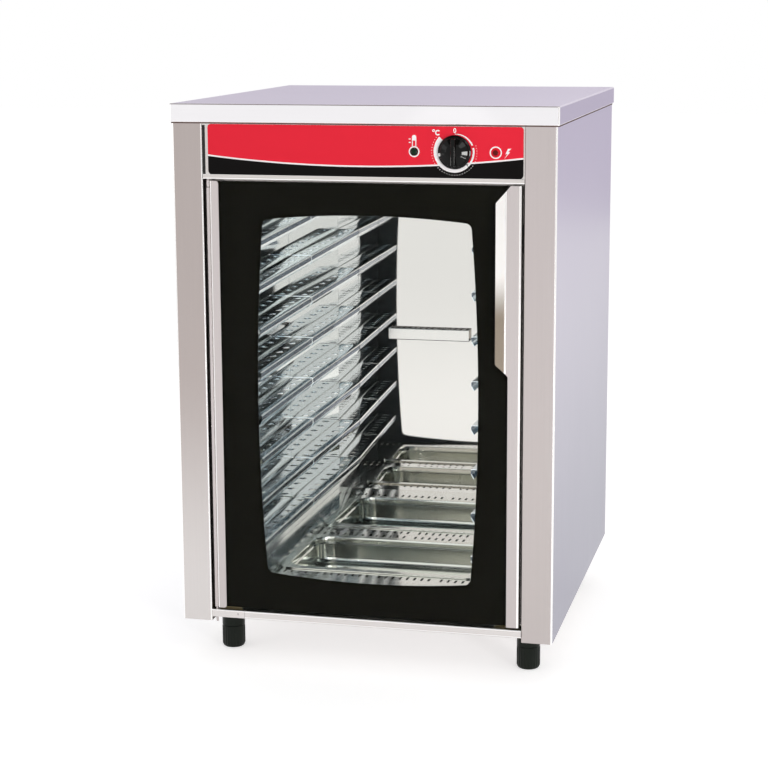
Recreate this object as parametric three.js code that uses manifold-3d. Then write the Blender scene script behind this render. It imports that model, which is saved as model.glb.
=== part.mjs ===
// Proofing cabinet: a glass-door warming cabinet on four screw feet, for eight 600 x 400 bakery trays.
// Millimetres, +Z up. While it is drawn, x = 0 is the middle, y = 0 the worktop's front edge and
// z = 0 the floor; at the end the group is shifted so that its box stands centred on the origin.

import * as THREE from 'three';
import * as BufferGeometryUtils from 'three/addons/utils/BufferGeometryUtils.js';
import Module from 'manifold-3d';

const wasm = await Module();
wasm.setup();

// Carcase
const cabinetWidth = 600;
const cabinetDepth = 650;
const cabinetHeight = 890;
const worktopSkirt = 28;
const worktopCorner = 3;
const worktopReturn = 12;
const footHeight = 72;
const sideInset = 3;
const faceInset = 2;
const postWidth = 48;
const postReturn = 20;
const rearReturn = 25;
const outerSheet = 1;
const bendRadius = 4;
const fit = 0.3;
const cutOverrun = 2;
const baseFlange = 12.5;
const backVentCount = 9;
const backVentWidth = 5;
const backVentHeight = 40;
const backVentPitch = 26;
const backVentDrop = 30;

// Door opening and bottom rail
const doorTopGap = 2.5;
const controlHeight = 86;
const bottomRailRise = 7;
const bottomRailHeight = 12;
const bottomRailDepth = 18;
const doorBottomGap = 3.5;

// Control panel
const fasciaSideMargin = 1.5;
const fasciaThickness = 1.5;
const fasciaCorner = 6;
const fasciaTopMargin = 4;
const fasciaBottomMargin = 8;
const controlFlange = 55;
const controlTopFlange = 25;
const dialInset = 105;
const dialDrop = 36;
const lampSpacing = 61.5;
const knobRadius = 25;
const knobDepth = 15;
const knobBase = 4;
const knobCrown = 3;
const knobGripWidth = 10;
const knobGripRise = 2;
const knobGripFaceShare = 0.86;
const shaftRadius = 3;
const shaftBore = 3.6;
const shaftClearance = 1.2;
const thermostatWidth = 44;
const thermostatDepth = 38;
const lampRadius = 6;
const lampStem = 4.6;
const lampLength = 26;
const lampRise = 3;
const lampClearance = 0.6;

// Door
const hingeAxisInset = 7.3;
const hingeAxisDepth = 5.5;
const hingeTubeRadius = 3.9;
const hingeBore = 2.5;
const hingePinRadius = 2;
const hingePinReach = 20;
const hingeBushRadius = 3.4;
const hingeBushLength = 12;
const stileSheet = 1.2;
const stileDepth = 12;
const stileRearFlange = 10;
const hingeStileFace = 14;
const hingeStileSetback = 3.5;
const handleStileFace = 20;
const handleStileGap = 3.7;
const glassThickness = 4;
const glassInset = 2;
const innerFrameSheet = 1.5;
const innerFrameMargin = 8;
const gasketWidth = 9;
const gasketMargin = 5;
const bracketWidth = 54;
const pinTail = 9;
const magnetWidth = 3;
const magnetHeight = 40;
const magnetDepth = 7;
const magnetDrop = 60;

// Window printed into the door's border: a barrel shape
const windowCentreX = 6;
const windowSideMargin = 87;
const windowSideBulge = 11.5;
const windowTopDrop = 58.5;
const windowBottomRise = 62.5;
const windowEndBulge = 9;
const windowCorner = 8;
const windowArcSteps = 8;
const windowCornerSteps = 3;

// Finger grip folded out of the handle stile
const gripBend = 4.5;
const gripWing = 12.8;
const gripRise = 10.7;
const gripLength = 287;
const gripTopChamfer = 25;
const gripBottomChamfer = 20;
const gripChamferRun = 20;

// Cavity and its lining
const wallDepth = 97;
const backWallDepth = 8.7;
const linerSheet = 0.8;
const frameSheet = 1.2;
const ceilingDrop = 25.7;
const sillRise = 48.5;
const headDrop = 27.2;
const sideInsulation = 38;
const topInsulation = 18;

// Tray rails
const railLevels = 8;
const lowestRailRise = 57;
const topRailDrop = 70.5;
const railSheet = 1;
const ledgeDepth = 37;
const railFlange = 14;
const lipDrop = 9;
const lipFold = 7;
const lipFoldIn = 4;
const railHoleCount = 16;
const railHoleRadius = 6.5;
const railHoleSides = 6;
const railNotch = 3;
const railEndGap = 2;

// Perforated floor plates and drop-in pans
const plateSheet = 1.2;
const panSideMargin = 40.5;
const panDepth = 42;
const panSheet = 0.8;
const panRim = 14;
const panRimThickness = 2;
const panCorner = 30;
const panRimCorner = 22;
const panCornerSteps = 6;
const frontStrip = 60;
const middleStrip = 60;
const rearStrip = 59;
const plateOpeningClearance = 2;
const slotWidth = 3;
const slotLength = 11;
const slotPitch = 11.5;
const slotGroup = 8;
const slotGroupGap = 8;
const slotMargin = 9;

// Cover on the back wall, heater and cable gland
const probeCoverWidth = 140;
const probeCoverHeight = 20;
const probeCoverDepth = 16;
const probeCoverSheet = 1;
const probeCoverX = -40;
const probeCoverRise = 287;
const probeSlotCount = 14;
const probeSlotWidth = 4;
const probeSlotMargin = 3;
const heaterRadius = 4;
const heaterRise = 10.2;
const heaterSideGap = 88;
const heaterFrontGap = 70;
const heaterCorner = 30;
const heaterSides = 8;
const heaterSteps = 28;
const glandInset = 41;
const glandRise = 78;
const glandRadius = 11;
const glandNut = 8;
const glandLength = 13.5;
const glandTail = 12;
const glandBore = 4;

// Feet
const footInsetX = 55;
const footInsetY = 99;
const footRadius = 18.75;
const footRibs = 24;
const footRibDepthShare = 0.05;
const socketHeight = 35;
const footEdge = 5;
const footStem = 8;
const socketBore = 8.6;
const footStemReach = 30;

// Places worked out from the sizes above
const bodyHalf = cabinetWidth / 2 - sideInset;
const postInner = bodyHalf - postWidth;
const faceY = faceInset;
const rearY = cabinetDepth - faceInset;
const carcaseTop = cabinetHeight - worktopSkirt - fit;
const controlBottom = carcaseTop - controlHeight;
const doorTop = controlBottom - doorTopGap;
const bottomRailLow = footHeight + bottomRailRise;
const doorBottom = bottomRailLow + bottomRailHeight + doorBottomGap;
const sillHeight = doorBottom + sillRise;
const headHeight = doorTop - headDrop;
const cavityCeiling = controlBottom - ceilingDrop;
const cavityHalf = cabinetWidth / 2 - wallDepth;
const hingeX = -postInner + hingeAxisInset;
const hingeY = faceY + hingeAxisDepth;
const hingeStileX = hingeX + hingeStileSetback;
const handleStileX = postInner - handleStileGap;
const glassFront = faceY + glassInset;
const glassBack = glassFront + glassThickness;
const innerFrameBack = glassBack + fit + innerFrameSheet;
const frameFront = faceY + stileDepth + gasketWidth / 2;
const frameBack = frameFront + frameSheet;
const cavityFront = frameBack + fit;
const cavityBack = rearY - backWallDepth;
const tankBottom = footHeight + baseFlange + fit;
const fasciaHigh = carcaseTop - fasciaTopMargin;
const fasciaLow = controlBottom + fasciaBottomMargin;
const dialX = postInner - dialInset;
const dialZ = fasciaHigh - dialDrop;
const windowHalfWidth = postInner - windowSideMargin;
const lipX = cavityHalf - ledgeDepth;
const lowestRail = sillHeight + lowestRailRise;
const railPitch = (cavityCeiling - topRailDrop - lowestRail) / (railLevels - 1);
const plateTop = sillHeight + fit + plateSheet;
const panWidth = 2 * (cavityHalf - panSideMargin);
const panLength = (cavityBack - cavityFront - frontStrip - middleStrip - rearStrip) / 2;
const seamY = cavityFront + frontStrip + panLength + middleStrip / 2;
const panFrontY = cavityFront + frontStrip + panLength / 2;
const panRearY = seamY + middleStrip / 2 + panLength / 2;
const glandX = bodyHalf - glandInset;
const glandZ = footHeight + glandRise;

const steel = { color: 0xcfc9c8, roughness: 0.35, metalness: 1 };
const brightSteel = { color: 0xdfe0e0, roughness: 0.12, metalness: 1 };
const finishes = {
  worktop: new THREE.MeshStandardMaterial({ ...steel, color: 0xcdc8d2 }),
  panel: new THREE.MeshStandardMaterial(steel),
  door: new THREE.MeshStandardMaterial({ ...steel, color: 0xdad6d8 }),
  liner: new THREE.MeshStandardMaterial(brightSteel),
  rail: new THREE.MeshStandardMaterial({ ...brightSteel, color: 0xd2d6d8 }),
  fascia: new THREE.MeshStandardMaterial({ color: 0xe22c40, roughness: 0.35, metalness: 0 }),
  black: new THREE.MeshStandardMaterial({ color: 0x151412, roughness: 0.3, metalness: 0 }),
  rubber: new THREE.MeshStandardMaterial({ color: 0x1a1d1a, roughness: 0.6, metalness: 0 }),
  glass: new THREE.MeshStandardMaterial({
    color: 0xdfe8e6, roughness: 0.04, metalness: 0, transparent: true, opacity: 0.25,
  }),
  greenLens: new THREE.MeshStandardMaterial({ color: 0x12321c, roughness: 0.15, metalness: 0 }),
  redLens: new THREE.MeshStandardMaterial({ color: 0x7a1014, roughness: 0.15, metalness: 0 }),
  wool: new THREE.MeshStandardMaterial({ color: 0xc9b98a, roughness: 0.95, metalness: 0 }),
};

const cabinet = new THREE.Group();

function addPiece(name, finish, geometry) {
  const mesh = new THREE.Mesh(geometry, finishes[finish]);
  mesh.name = name;
  cabinet.add(mesh);
  return mesh;
}

// Solids for cutting and joining

function toSolid(geometry) {
  const bare = geometry.clone();
  bare.deleteAttribute('normal');
  bare.deleteAttribute('uv');
  const welded = BufferGeometryUtils.mergeVertices(bare);
  const corners = [];
  const index = welded.index.array;
  for (let i = 0; i < index.length; i += 3) {
    const [a, b, c] = [index[i], index[i + 1], index[i + 2]];
    if (a !== b && b !== c && c !== a) corners.push(a, b, c);
  }
  const vertProperties = new Float32Array(welded.attributes.position.array);
  const triVerts = new Uint32Array(corners);
  return new wasm.Manifold(new wasm.Mesh({ numProp: 3, vertProperties, triVerts }));
}

function toGeometry(solid) {
  const mesh = solid.getMesh();
  const geometry = new THREE.BufferGeometry();
  geometry.setAttribute('position', new THREE.BufferAttribute(new Float32Array(mesh.vertProperties), 3));
  geometry.setIndex(new THREE.BufferAttribute(new Uint32Array(mesh.triVerts), 1));
  const flat = geometry.toNonIndexed();
  flat.computeVertexNormals();
  return flat;
}

function cut(geometry, cutters) {
  let solid = toSolid(geometry);
  for (const cutter of cutters) solid = solid.subtract(toSolid(cutter));
  return toGeometry(solid);
}

function join(geometries) {
  let solid = toSolid(geometries[0]);
  for (const other of geometries.slice(1)) solid = solid.add(toSolid(other));
  return toGeometry(solid);
}

function common(first, second) {
  return toGeometry(toSolid(first).intersect(toSolid(second)));
}

// Simple shapes, each placed by its limits

function block([x0, x1], [y0, y1], [z0, z1]) {
  const geometry = new THREE.BoxGeometry(x1 - x0, y1 - y0, z1 - z0);
  return geometry.translate((x0 + x1) / 2, (y0 + y1) / 2, (z0 + z1) / 2);
}

function uprightRod(radius, [x, y], [z0, z1], sides = 12) {
  const geometry = new THREE.CylinderGeometry(radius, radius, z1 - z0, sides).rotateX(Math.PI / 2);
  return geometry.translate(x, y, (z0 + z1) / 2);
}

function frontRod(radius, [x, z], [y0, y1], sides = 16) {
  return new THREE.CylinderGeometry(radius, radius, y1 - y0, sides).translate(x, (y0 + y1) / 2, z);
}

function prism(points, length) {
  const shape = new THREE.Shape(points);
  return new THREE.ExtrudeGeometry(shape, { depth: length, bevelEnabled: false, steps: 1 });
}

// Outline in (x, y), carried up from z0 to z1
function uprightPrism(points, [z0, z1]) {
  return prism(points, z1 - z0).translate(0, 0, z0);
}

// Outline in (x, z), carried back from y0 to y1
function backwardPrism(points, [y0, y1]) {
  return prism(points, y1 - y0).rotateX(Math.PI / 2).translate(0, y1, 0);
}

// Outline in (y, z), carried across from x0 to x1
function sidewaysPrism(points, [x0, x1]) {
  const turn = new THREE.Matrix4().set(0, 0, 1, 0, 1, 0, 0, 0, 0, 1, 0, 0, 0, 0, 0, 1);
  return prism(points, x1 - x0).applyMatrix4(turn).translate(x0, 0, 0);
}

// A folded sheet seen end on: the path is one face, the sheet lies on its left for a positive thickness
function foldedSheet(path, thickness) {
  const points = path.map(([x, y]) => new THREE.Vector2(x, y));
  const normals = points.slice(1).map((point, i) => {
    const along = point.clone().sub(points[i]).normalize();
    return new THREE.Vector2(-along.y, along.x);
  });
  const inner = points.map((point, i) => {
    const before = normals[Math.max(i - 1, 0)];
    const after = normals[Math.min(i, normals.length - 1)];
    const mitre = before.clone().add(after).normalize();
    return point.clone().addScaledVector(mitre, thickness / mitre.dot(after));
  });
  return [...points, ...inner.reverse()];
}

// Points of a quarter bend from one angle to another, both in degrees
function bend([x, y], radius, from, to, steps = 3) {
  return Array.from({ length: steps + 1 }, (_, i) => {
    const angle = THREE.MathUtils.degToRad(from + ((to - from) * i) / steps);
    return [x + radius * Math.cos(angle), y + radius * Math.sin(angle)];
  });
}

function roundedRectangle([x0, x1], [y0, y1], radius, steps = 3) {
  return [
    ...bend([x1 - radius, y0 + radius], radius, -90, 0, steps),
    ...bend([x1 - radius, y1 - radius], radius, 0, 90, steps),
    ...bend([x0 + radius, y1 - radius], radius, 90, 180, steps),
    ...bend([x0 + radius, y0 + radius], radius, 180, 270, steps),
  ].map(([x, y]) => new THREE.Vector2(x, y));
}

// Carcase: folded steel sheets standing on the base

function makeWorktop() {
  const half = cabinetWidth / 2;
  const low = cabinetHeight - worktopSkirt;
  const outline = roundedRectangle([-half, half], [0, cabinetDepth], worktopCorner);
  const hollow = block(
    [-half + outerSheet, half - outerSheet],
    [outerSheet, cabinetDepth - outerSheet],
    [low + outerSheet, cabinetHeight - outerSheet],
  );
  const mouth = block(
    [-half + worktopReturn, half - worktopReturn],
    [worktopReturn, cabinetDepth - worktopReturn],
    [low - cutOverrun, low + 2 * outerSheet],
  );
  addPiece('worktop', 'worktop', cut(uprightPrism(outline, [low, cabinetHeight]), [hollow, mouth]));
}

function makeSidePanel(name, side) {
  const corner = [side * (bodyHalf - bendRadius), faceY + bendRadius];
  const frontBend = bend(corner, bendRadius, -90, side > 0 ? 0 : -180);
  const path = [
    [side * postInner, faceY + postReturn],
    [side * postInner, faceY],
    ...frontBend,
    [side * bodyHalf, rearY],
    [side * (bodyHalf - rearReturn), rearY],
  ];
  const outline = foldedSheet(path, side * outerSheet);
  addPiece(name, 'panel', uprightPrism(outline, [footHeight, carcaseTop]));
}

function makeBackPanel() {
  const half = bodyHalf - outerSheet - fit;
  const back = rearY - outerSheet - fit;
  const plate = block([-half, half], [back - outerSheet, back], [footHeight, carcaseTop]);
  const cutters = [frontRod(glandNut, [glandX, glandZ], [back - outerSheet - cutOverrun, back + cutOverrun])];
  const ventTop = carcaseTop - backVentDrop;
  for (let i = 0; i < backVentCount; i += 1) {
    const x = (i - (backVentCount - 1) / 2) * backVentPitch;
    cutters.push(block(
      [x - backVentWidth / 2, x + backVentWidth / 2],
      [back - outerSheet - cutOverrun, back + cutOverrun],
      [ventTop - backVentHeight, ventTop],
    ));
  }
  addPiece('back_panel', 'panel', cut(plate, cutters));
}

function makeBasePanel() {
  const half = bodyHalf - outerSheet - fit;
  const front = faceY + postReturn + fit;
  const back = rearY - 2 * (outerSheet + fit);
  const tray = block([-half, half], [front, back], [footHeight, footHeight + baseFlange]);
  const hollow = block(
    [-half + outerSheet, half - outerSheet],
    [front + outerSheet, back - outerSheet],
    [footHeight + outerSheet, footHeight + baseFlange + cutOverrun],
  );
  addPiece('base_panel', 'panel', cut(tray, [hollow]));
}

function makeBottomRail() {
  const top = bottomRailLow + bottomRailHeight;
  const path = [
    [faceY + bottomRailDepth, bottomRailLow],
    [faceY, bottomRailLow],
    [faceY, top],
    [faceY + bottomRailDepth, top],
  ];
  const from = -postInner + fit + bracketWidth + fit;
  const outline = foldedSheet(path, -outerSheet);
  addPiece('front_bottom_rail', 'door', sidewaysPrism(outline, [from, postInner - fit]));
}

// Control panel above the door

function panelHoles(panel, y0, y1) {
  const holes = [frontRod(shaftRadius + shaftClearance, [dialX, dialZ], [y0, y1])];
  for (const side of [-1, 1]) {
    holes.push(frontRod(lampStem + lampClearance, [dialX + side * lampSpacing, dialZ], [y0, y1]));
  }
  return cut(panel, holes);
}

function makeControlPanel() {
  const half = postInner - fit;
  const front = faceY + fasciaThickness + fit;
  const path = [
    [faceY + controlFlange, controlBottom],
    [faceY, controlBottom],
    [faceY, fasciaLow - fit],
    [front, fasciaLow - fit],
    [front, carcaseTop],
    [front + controlTopFlange, carcaseTop],
  ];
  const panel = sidewaysPrism(foldedSheet(path, -outerSheet), [-half, half]);
  addPiece('control_panel', 'door', panelHoles(panel, front - cutOverrun, front + outerSheet + cutOverrun));
}

function makeFascia() {
  const half = postInner - fasciaSideMargin;
  const outline = roundedRectangle([-half, half], [fasciaLow, fasciaHigh], fasciaCorner);
  const plate = backwardPrism(outline, [faceY, faceY + fasciaThickness]);
  const drilled = panelHoles(plate, faceY - cutOverrun, faceY + fasciaThickness + cutOverrun);
  addPiece('control_fascia', 'fascia', drilled);
}

function makeThermostat() {
  const behind = faceY + fasciaThickness + fit + outerSheet + fit;
  const tip = faceY - fit - knobDepth + knobCrown + knobBase;
  const half = thermostatWidth / 2;
  const body = block(
    [dialX - half, dialX + half],
    [behind, behind + thermostatDepth],
    [dialZ - half, dialZ + half],
  );
  const shaft = frontRod(shaftRadius, [dialX, dialZ], [tip, behind + cutOverrun]);
  addPiece('thermostat_body', 'black', join([body, shaft]));
}

function makeKnob() {
  const rear = faceY - fit;
  const face = knobRadius * knobGripFaceShare;
  const profile = [
    [0, 0],
    [knobRadius, 0],
    [knobRadius, knobBase],
    [face, knobDepth - knobCrown],
    [face / 2, knobDepth - knobCrown / 3],
    [0, knobDepth],
  ].map(([x, y]) => new THREE.Vector2(x, y));
  const dome = new THREE.LatheGeometry(profile, 32);
  const grip = block(
    [-knobGripWidth / 2, knobGripWidth / 2],
    [knobBase, knobDepth + knobGripRise],
    [-face, face],
  );
  const bore = new THREE.CylinderGeometry(shaftBore, shaftBore, 2 * (knobDepth - knobCrown), 12);
  const knob = cut(join([dome, grip]), [bore]);
  knob.rotateX(Math.PI).translate(dialX, rear, dialZ);
  addPiece('thermostat_knob', 'black', knob);
}

function makeLamp(name, finish, side) {
  const profile = [
    [0, -lampRise],
    [lampRadius / 2, -lampRise * Math.cos(Math.PI / 6)],
    [lampRadius, -fit],
    [lampStem, -fit],
    [lampStem, lampLength],
    [0, lampLength],
  ].map(([x, y]) => new THREE.Vector2(x, y));
  const lamp = new THREE.LatheGeometry(profile, 16).translate(dialX + side * lampSpacing, faceY, dialZ);
  addPiece(name, finish, lamp);
}

// Door: toughened glass held at both sides by folded stiles

function makeHingeStile() {
  const deep = faceY + stileDepth;
  const path = [
    [hingeStileX + hingeStileFace, faceY],
    [hingeStileX, faceY],
    [hingeStileX, deep],
    [hingeStileX + stileRearFlange, deep],
  ];
  const channel = uprightPrism(foldedSheet(path, -stileSheet), [doorBottom, doorTop]);
  const tubeTop = controlBottom - fit - hingeBushLength - 2 * fit;
  const tube = uprightRod(hingeTubeRadius, [hingeX, hingeY], [doorBottom, tubeTop]);
  const bore = uprightRod(hingeBore, [hingeX, hingeY], [doorBottom - cutOverrun, tubeTop + cutOverrun]);
  addPiece('hinge_stile', 'door', cut(join([channel, tube]), [bore]));
}

function makeHandleStile() {
  const deep = faceY + stileDepth;
  const path = [
    [handleStileX - handleStileFace, faceY],
    ...bend([handleStileX - bendRadius, faceY + bendRadius], bendRadius, -90, 0),
    [handleStileX, deep],
    [handleStileX - stileRearFlange, deep],
  ];
  const channel = uprightPrism(foldedSheet(path, stileSheet), [doorBottom, doorTop]);
  const bendX = handleStileX - handleStileFace - gripBend;
  const wingX = bendX - gripWing;
  const low = doorTop - gripLength;
  const bladePath = [[wingX, faceY - gripRise], [bendX, faceY], [bendX + 2 * gripBend, faceY]];
  const blade = foldedSheet(bladePath, stileSheet);
  const outline = [
    [bendX + 2 * gripBend, low],
    [wingX + gripChamferRun, low],
    [wingX, low + gripBottomChamfer],
    [wingX, doorTop - gripTopChamfer],
    [wingX + gripChamferRun, doorTop],
    [bendX + 2 * gripBend, doorTop],
  ].map(([x, z]) => new THREE.Vector2(x, z));
  const grip = common(
    uprightPrism(blade, [low, doorTop]),
    backwardPrism(outline, [faceY - 2 * gripRise, faceY + gripRise]),
  );
  addPiece('handle_stile', 'door', join([channel, grip]));
}

function makeDoorGlass() {
  const left = hingeStileX + stileSheet + fit;
  const right = handleStileX - bendRadius;
  addPiece('door_glass', 'glass', block([left, right], [glassFront, glassBack], [doorBottom, doorTop]));
}

// One side of the barrel window: a shallow arc between two corners
function bowedEdge([x0, z0], [x1, z1], [bulgeX, bulgeZ]) {
  return Array.from({ length: windowArcSteps + 1 }, (_, i) => {
    const share = i / windowArcSteps;
    const swell = 1 - (2 * share - 1) ** 2;
    return [x0 + (x1 - x0) * share + bulgeX * swell, z0 + (z1 - z0) * share + bulgeZ * swell];
  });
}

function windowOutline() {
  const left = windowCentreX - windowHalfWidth;
  const right = windowCentreX + windowHalfWidth;
  const low = doorBottom + windowBottomRise;
  const high = doorTop - windowTopDrop;
  const r = windowCorner;
  const steps = windowCornerSteps;
  const points = [
    ...bowedEdge([left + r, low], [right - r, low], [0, -windowEndBulge]),
    ...bend([right - r, low + r], r, -90, 0, steps).slice(1, -1),
    ...bowedEdge([right, low + r], [right, high - r], [windowSideBulge, 0]),
    ...bend([right - r, high - r], r, 0, 90, steps).slice(1, -1),
    ...bowedEdge([right - r, high], [left + r, high], [0, windowEndBulge]),
    ...bend([left + r, high - r], r, 90, 180, steps).slice(1, -1),
    ...bowedEdge([left, high - r], [left, low + r], [-windowSideBulge, 0]),
    ...bend([left + r, low + r], r, 180, 270, steps).slice(1, -1),
  ];
  return points.map(([x, z]) => new THREE.Vector2(x, z));
}

function makeInnerFrame() {
  const left = hingeStileX + stileRearFlange + fit;
  const right = handleStileX - stileRearFlange - fit;
  const plate = block(
    [left, right],
    [glassBack + fit, innerFrameBack],
    [doorBottom + innerFrameMargin, doorTop - innerFrameMargin],
  );
  const opening = backwardPrism(windowOutline(), [glassBack - cutOverrun, innerFrameBack + cutOverrun]);
  addPiece('door_inner_frame', 'black', cut(plate, [opening]));
}

function makeGasket() {
  const left = hingeStileX + stileRearFlange + gasketMargin;
  const right = handleStileX - stileRearFlange - gasketMargin;
  const low = doorBottom + innerFrameMargin + gasketMargin;
  const high = doorTop - innerFrameMargin - gasketMargin;
  const [near, far] = [innerFrameBack + fit, frameFront - fit];
  const ring = block([left, right], [near, far], [low, high]);
  const hollow = block(
    [left + gasketWidth, right - gasketWidth],
    [near - cutOverrun, far + cutOverrun],
    [low + gasketWidth, high - gasketWidth],
  );
  addPiece('door_gasket', 'rubber', cut(ring, [hollow]));
}

function makeHingeFittings() {
  const bushTop = controlBottom - fit;
  const bushLow = bushTop - hingeBushLength;
  const at = [hingeX, hingeY];
  const bush = uprightRod(hingeBushRadius, at, [bushLow, bushTop]);
  const upperPin = uprightRod(hingePinRadius, at, [bushLow - hingePinReach, bushLow + cutOverrun]);
  addPiece('upper_hinge_pin', 'door', join([bush, upperPin]));

  const top = bottomRailLow + bottomRailHeight;
  const path = [[faceY, bottomRailLow], [faceY, top], [faceY + bottomRailDepth, top]];
  const left = -postInner + fit;
  const leaf = sidewaysPrism(foldedSheet(path, -outerSheet), [left, left + bracketWidth]);
  const lowerPin = uprightRod(hingePinRadius, at, [bottomRailLow - pinTail, doorBottom + hingePinReach]);
  addPiece('lower_hinge_bracket', 'door', join([leaf, lowerPin]));
}

function makeDoorMagnet() {
  const right = postInner - fit;
  const top = doorTop - magnetDrop;
  const depth = [frameFront - fit - magnetDepth, frameFront - fit];
  addPiece('door_magnet', 'black', block([right - magnetWidth, right], depth, [top - magnetHeight, top]));
}

// Cavity lining

function makeFrontFrame() {
  const half = postInner - fit;
  const plate = block([-half, half], [frameFront, frameBack], [doorBottom, controlBottom - fit]);
  const opening = block(
    [-cavityHalf, cavityHalf],
    [frameFront - cutOverrun, frameBack + cutOverrun],
    [sillHeight, headHeight],
  );
  addPiece('front_frame', 'liner', cut(plate, [opening]));
}

function makeLiner() {
  const depth = [cavityFront, cavityBack];
  const height = [tankBottom, cavityCeiling];
  for (const [name, side] of [['liner_left', -1], ['liner_right', 1]]) {
    const faces = [side * cavityHalf, side * (cavityHalf + linerSheet)].sort((a, b) => a - b);
    addPiece(name, 'liner', block(faces, depth, height));
  }
  const half = cavityHalf + linerSheet;
  const backWall = [cavityBack + fit, cavityBack + fit + linerSheet];
  addPiece('liner_back', 'liner', block([-half, half], backWall, height));
  const roof = [cavityCeiling + fit, cavityCeiling + fit + linerSheet];
  addPiece('liner_top', 'liner', block([-half, half], [cavityFront, backWall[1]], roof));
  const inner = cavityHalf - fit;
  const floor = [tankBottom, tankBottom + linerSheet];
  addPiece('liner_base', 'liner', block([-inner, inner], [cavityFront, cavityBack], floor));
}

function makeInsulation() {
  const near = cavityHalf + linerSheet + fit;
  const depth = [faceY + postReturn + fit + outerSheet + fit, cavityBack];
  const height = [footHeight + baseFlange + fit, cavityCeiling];
  for (const [name, side] of [['insulation_left', -1], ['insulation_right', 1]]) {
    const faces = [side * near, side * (near + sideInsulation)].sort((a, b) => a - b);
    addPiece(name, 'wool', block(faces, depth, height));
  }
  const roof = cavityCeiling + linerSheet + 2 * fit;
  const half = near + sideInsulation;
  addPiece('insulation_top', 'wool', block([-half, half], depth, [roof, roof + topInsulation]));
}

// Tray rails: perforated ledges with a folded lip, in two lengths joined at their wall flange

function makeRail(name, side, top) {
  const wall = cavityHalf - fit;
  const path = [
    [side * wall, top - railFlange],
    [side * wall, top],
    [side * lipX, top],
    [side * lipX, top - lipDrop],
    [side * (lipX + lipFoldIn), top - lipDrop - lipFold],
  ];
  const [near, far] = [cavityFront + railEndGap, cavityBack - railEndGap];
  const ledge = backwardPrism(foldedSheet(path, side * railSheet), [near, far]);
  const middle = (near + far) / 2;
  const notchWall = wall - 2 * railSheet;
  const notch = block(
    [side * (lipX - cutOverrun), side * notchWall].sort((a, b) => a - b),
    [middle - railNotch / 2, middle + railNotch / 2],
    [top - lipDrop - lipFold - cutOverrun, top + cutOverrun],
  );
  const cutters = [notch];
  const pitch = (far - near) / railHoleCount;
  const holeX = side * (lipX + wall) / 2;
  const through = [top - railSheet - cutOverrun, top + cutOverrun];
  for (let i = 0; i < railHoleCount; i += 1) {
    cutters.push(uprightRod(railHoleRadius, [holeX, near + (i + 0.5) * pitch], through, railHoleSides));
  }
  addPiece(name, 'rail', cut(ledge, cutters));
}

function makeRails() {
  for (let level = 0; level < railLevels; level += 1) {
    const top = lowestRail + level * railPitch;
    makeRail(`rail_left_${level + 1}`, -1, top);
    makeRail(`rail_right_${level + 1}`, 1, top);
  }
}

// Perforated floor plates, each with a drop-in pan

function slotRow(centreY) {
  const slots = [];
  const groupWidth = slotGroup * slotPitch + slotGroupGap;
  const slotGroups = Math.floor((2 * cavityHalf) / groupWidth);
  for (let group = 0; group < slotGroups; group += 1) {
    const start = (group - slotGroups / 2) * groupWidth + slotGroupGap / 2;
    for (let i = 0; i < slotGroup; i += 1) {
      const x = start + (i + 0.5) * slotPitch;
      slots.push(block(
        [x - slotWidth / 2, x + slotWidth / 2],
        [centreY - slotLength / 2, centreY + slotLength / 2],
        [plateTop - plateSheet - cutOverrun, plateTop + cutOverrun],
      ));
    }
  }
  return slots;
}

function makeFloorPlate(name, [y0, y1], panY, rows) {
  const half = cavityHalf - fit;
  const plate = block([-half, half], [y0, y1], [plateTop - plateSheet, plateTop]);
  const openX = panWidth / 2 - panRim + plateOpeningClearance;
  const openY = panLength / 2 - panRim + plateOpeningClearance;
  const opening = uprightPrism(
    roundedRectangle([-openX, openX], [panY - openY, panY + openY], panCorner, panCornerSteps),
    [plateTop - plateSheet - cutOverrun, plateTop + cutOverrun],
  );
  addPiece(name, 'liner', cut(plate, [opening, ...rows.flatMap(slotRow)]));
}

function makeFloorPlates() {
  const slotOffset = slotMargin + slotLength / 2;
  const frontPan = [panFrontY - panLength / 2, panFrontY + panLength / 2];
  const rearPan = [panRearY - panLength / 2, panRearY + panLength / 2];
  makeFloorPlate(
    'floor_plate_front',
    [cavityFront, seamY - fit / 2],
    panFrontY,
    [frontPan[0] - slotOffset, frontPan[1] + slotOffset],
  );
  makeFloorPlate(
    'floor_plate_rear',
    [seamY + fit / 2, cavityBack],
    panRearY,
    [rearPan[0] - slotOffset, rearPan[1] + slotOffset],
  );
}

function makePan(name, centreY) {
  const [halfX, halfY] = [panWidth / 2, panLength / 2];
  const [tubX, tubY] = [halfX - panRim, halfY - panRim];
  const seat = plateTop + fit;
  const rimTop = seat + panRimThickness;
  const floor = rimTop - panDepth;
  const spanY = (half) => [centreY - half, centreY + half];
  const rim = uprightPrism(
    roundedRectangle([-halfX, halfX], spanY(halfY), panRimCorner, panCornerSteps),
    [seat, rimTop],
  );
  const tub = uprightPrism(
    roundedRectangle([-tubX, tubX], spanY(tubY), panCorner, panCornerSteps),
    [floor, seat + panRimThickness / 2],
  );
  const innerX = tubX - panSheet;
  const inside = uprightPrism(
    roundedRectangle([-innerX, innerX], spanY(tubY - panSheet), panCorner - panSheet, panCornerSteps),
    [floor + panSheet, rimTop + cutOverrun],
  );
  addPiece(name, 'liner', cut(join([rim, tub]), [inside]));
}

// Slotted cover over the temperature probe, low heater and the inlet gland

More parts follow.
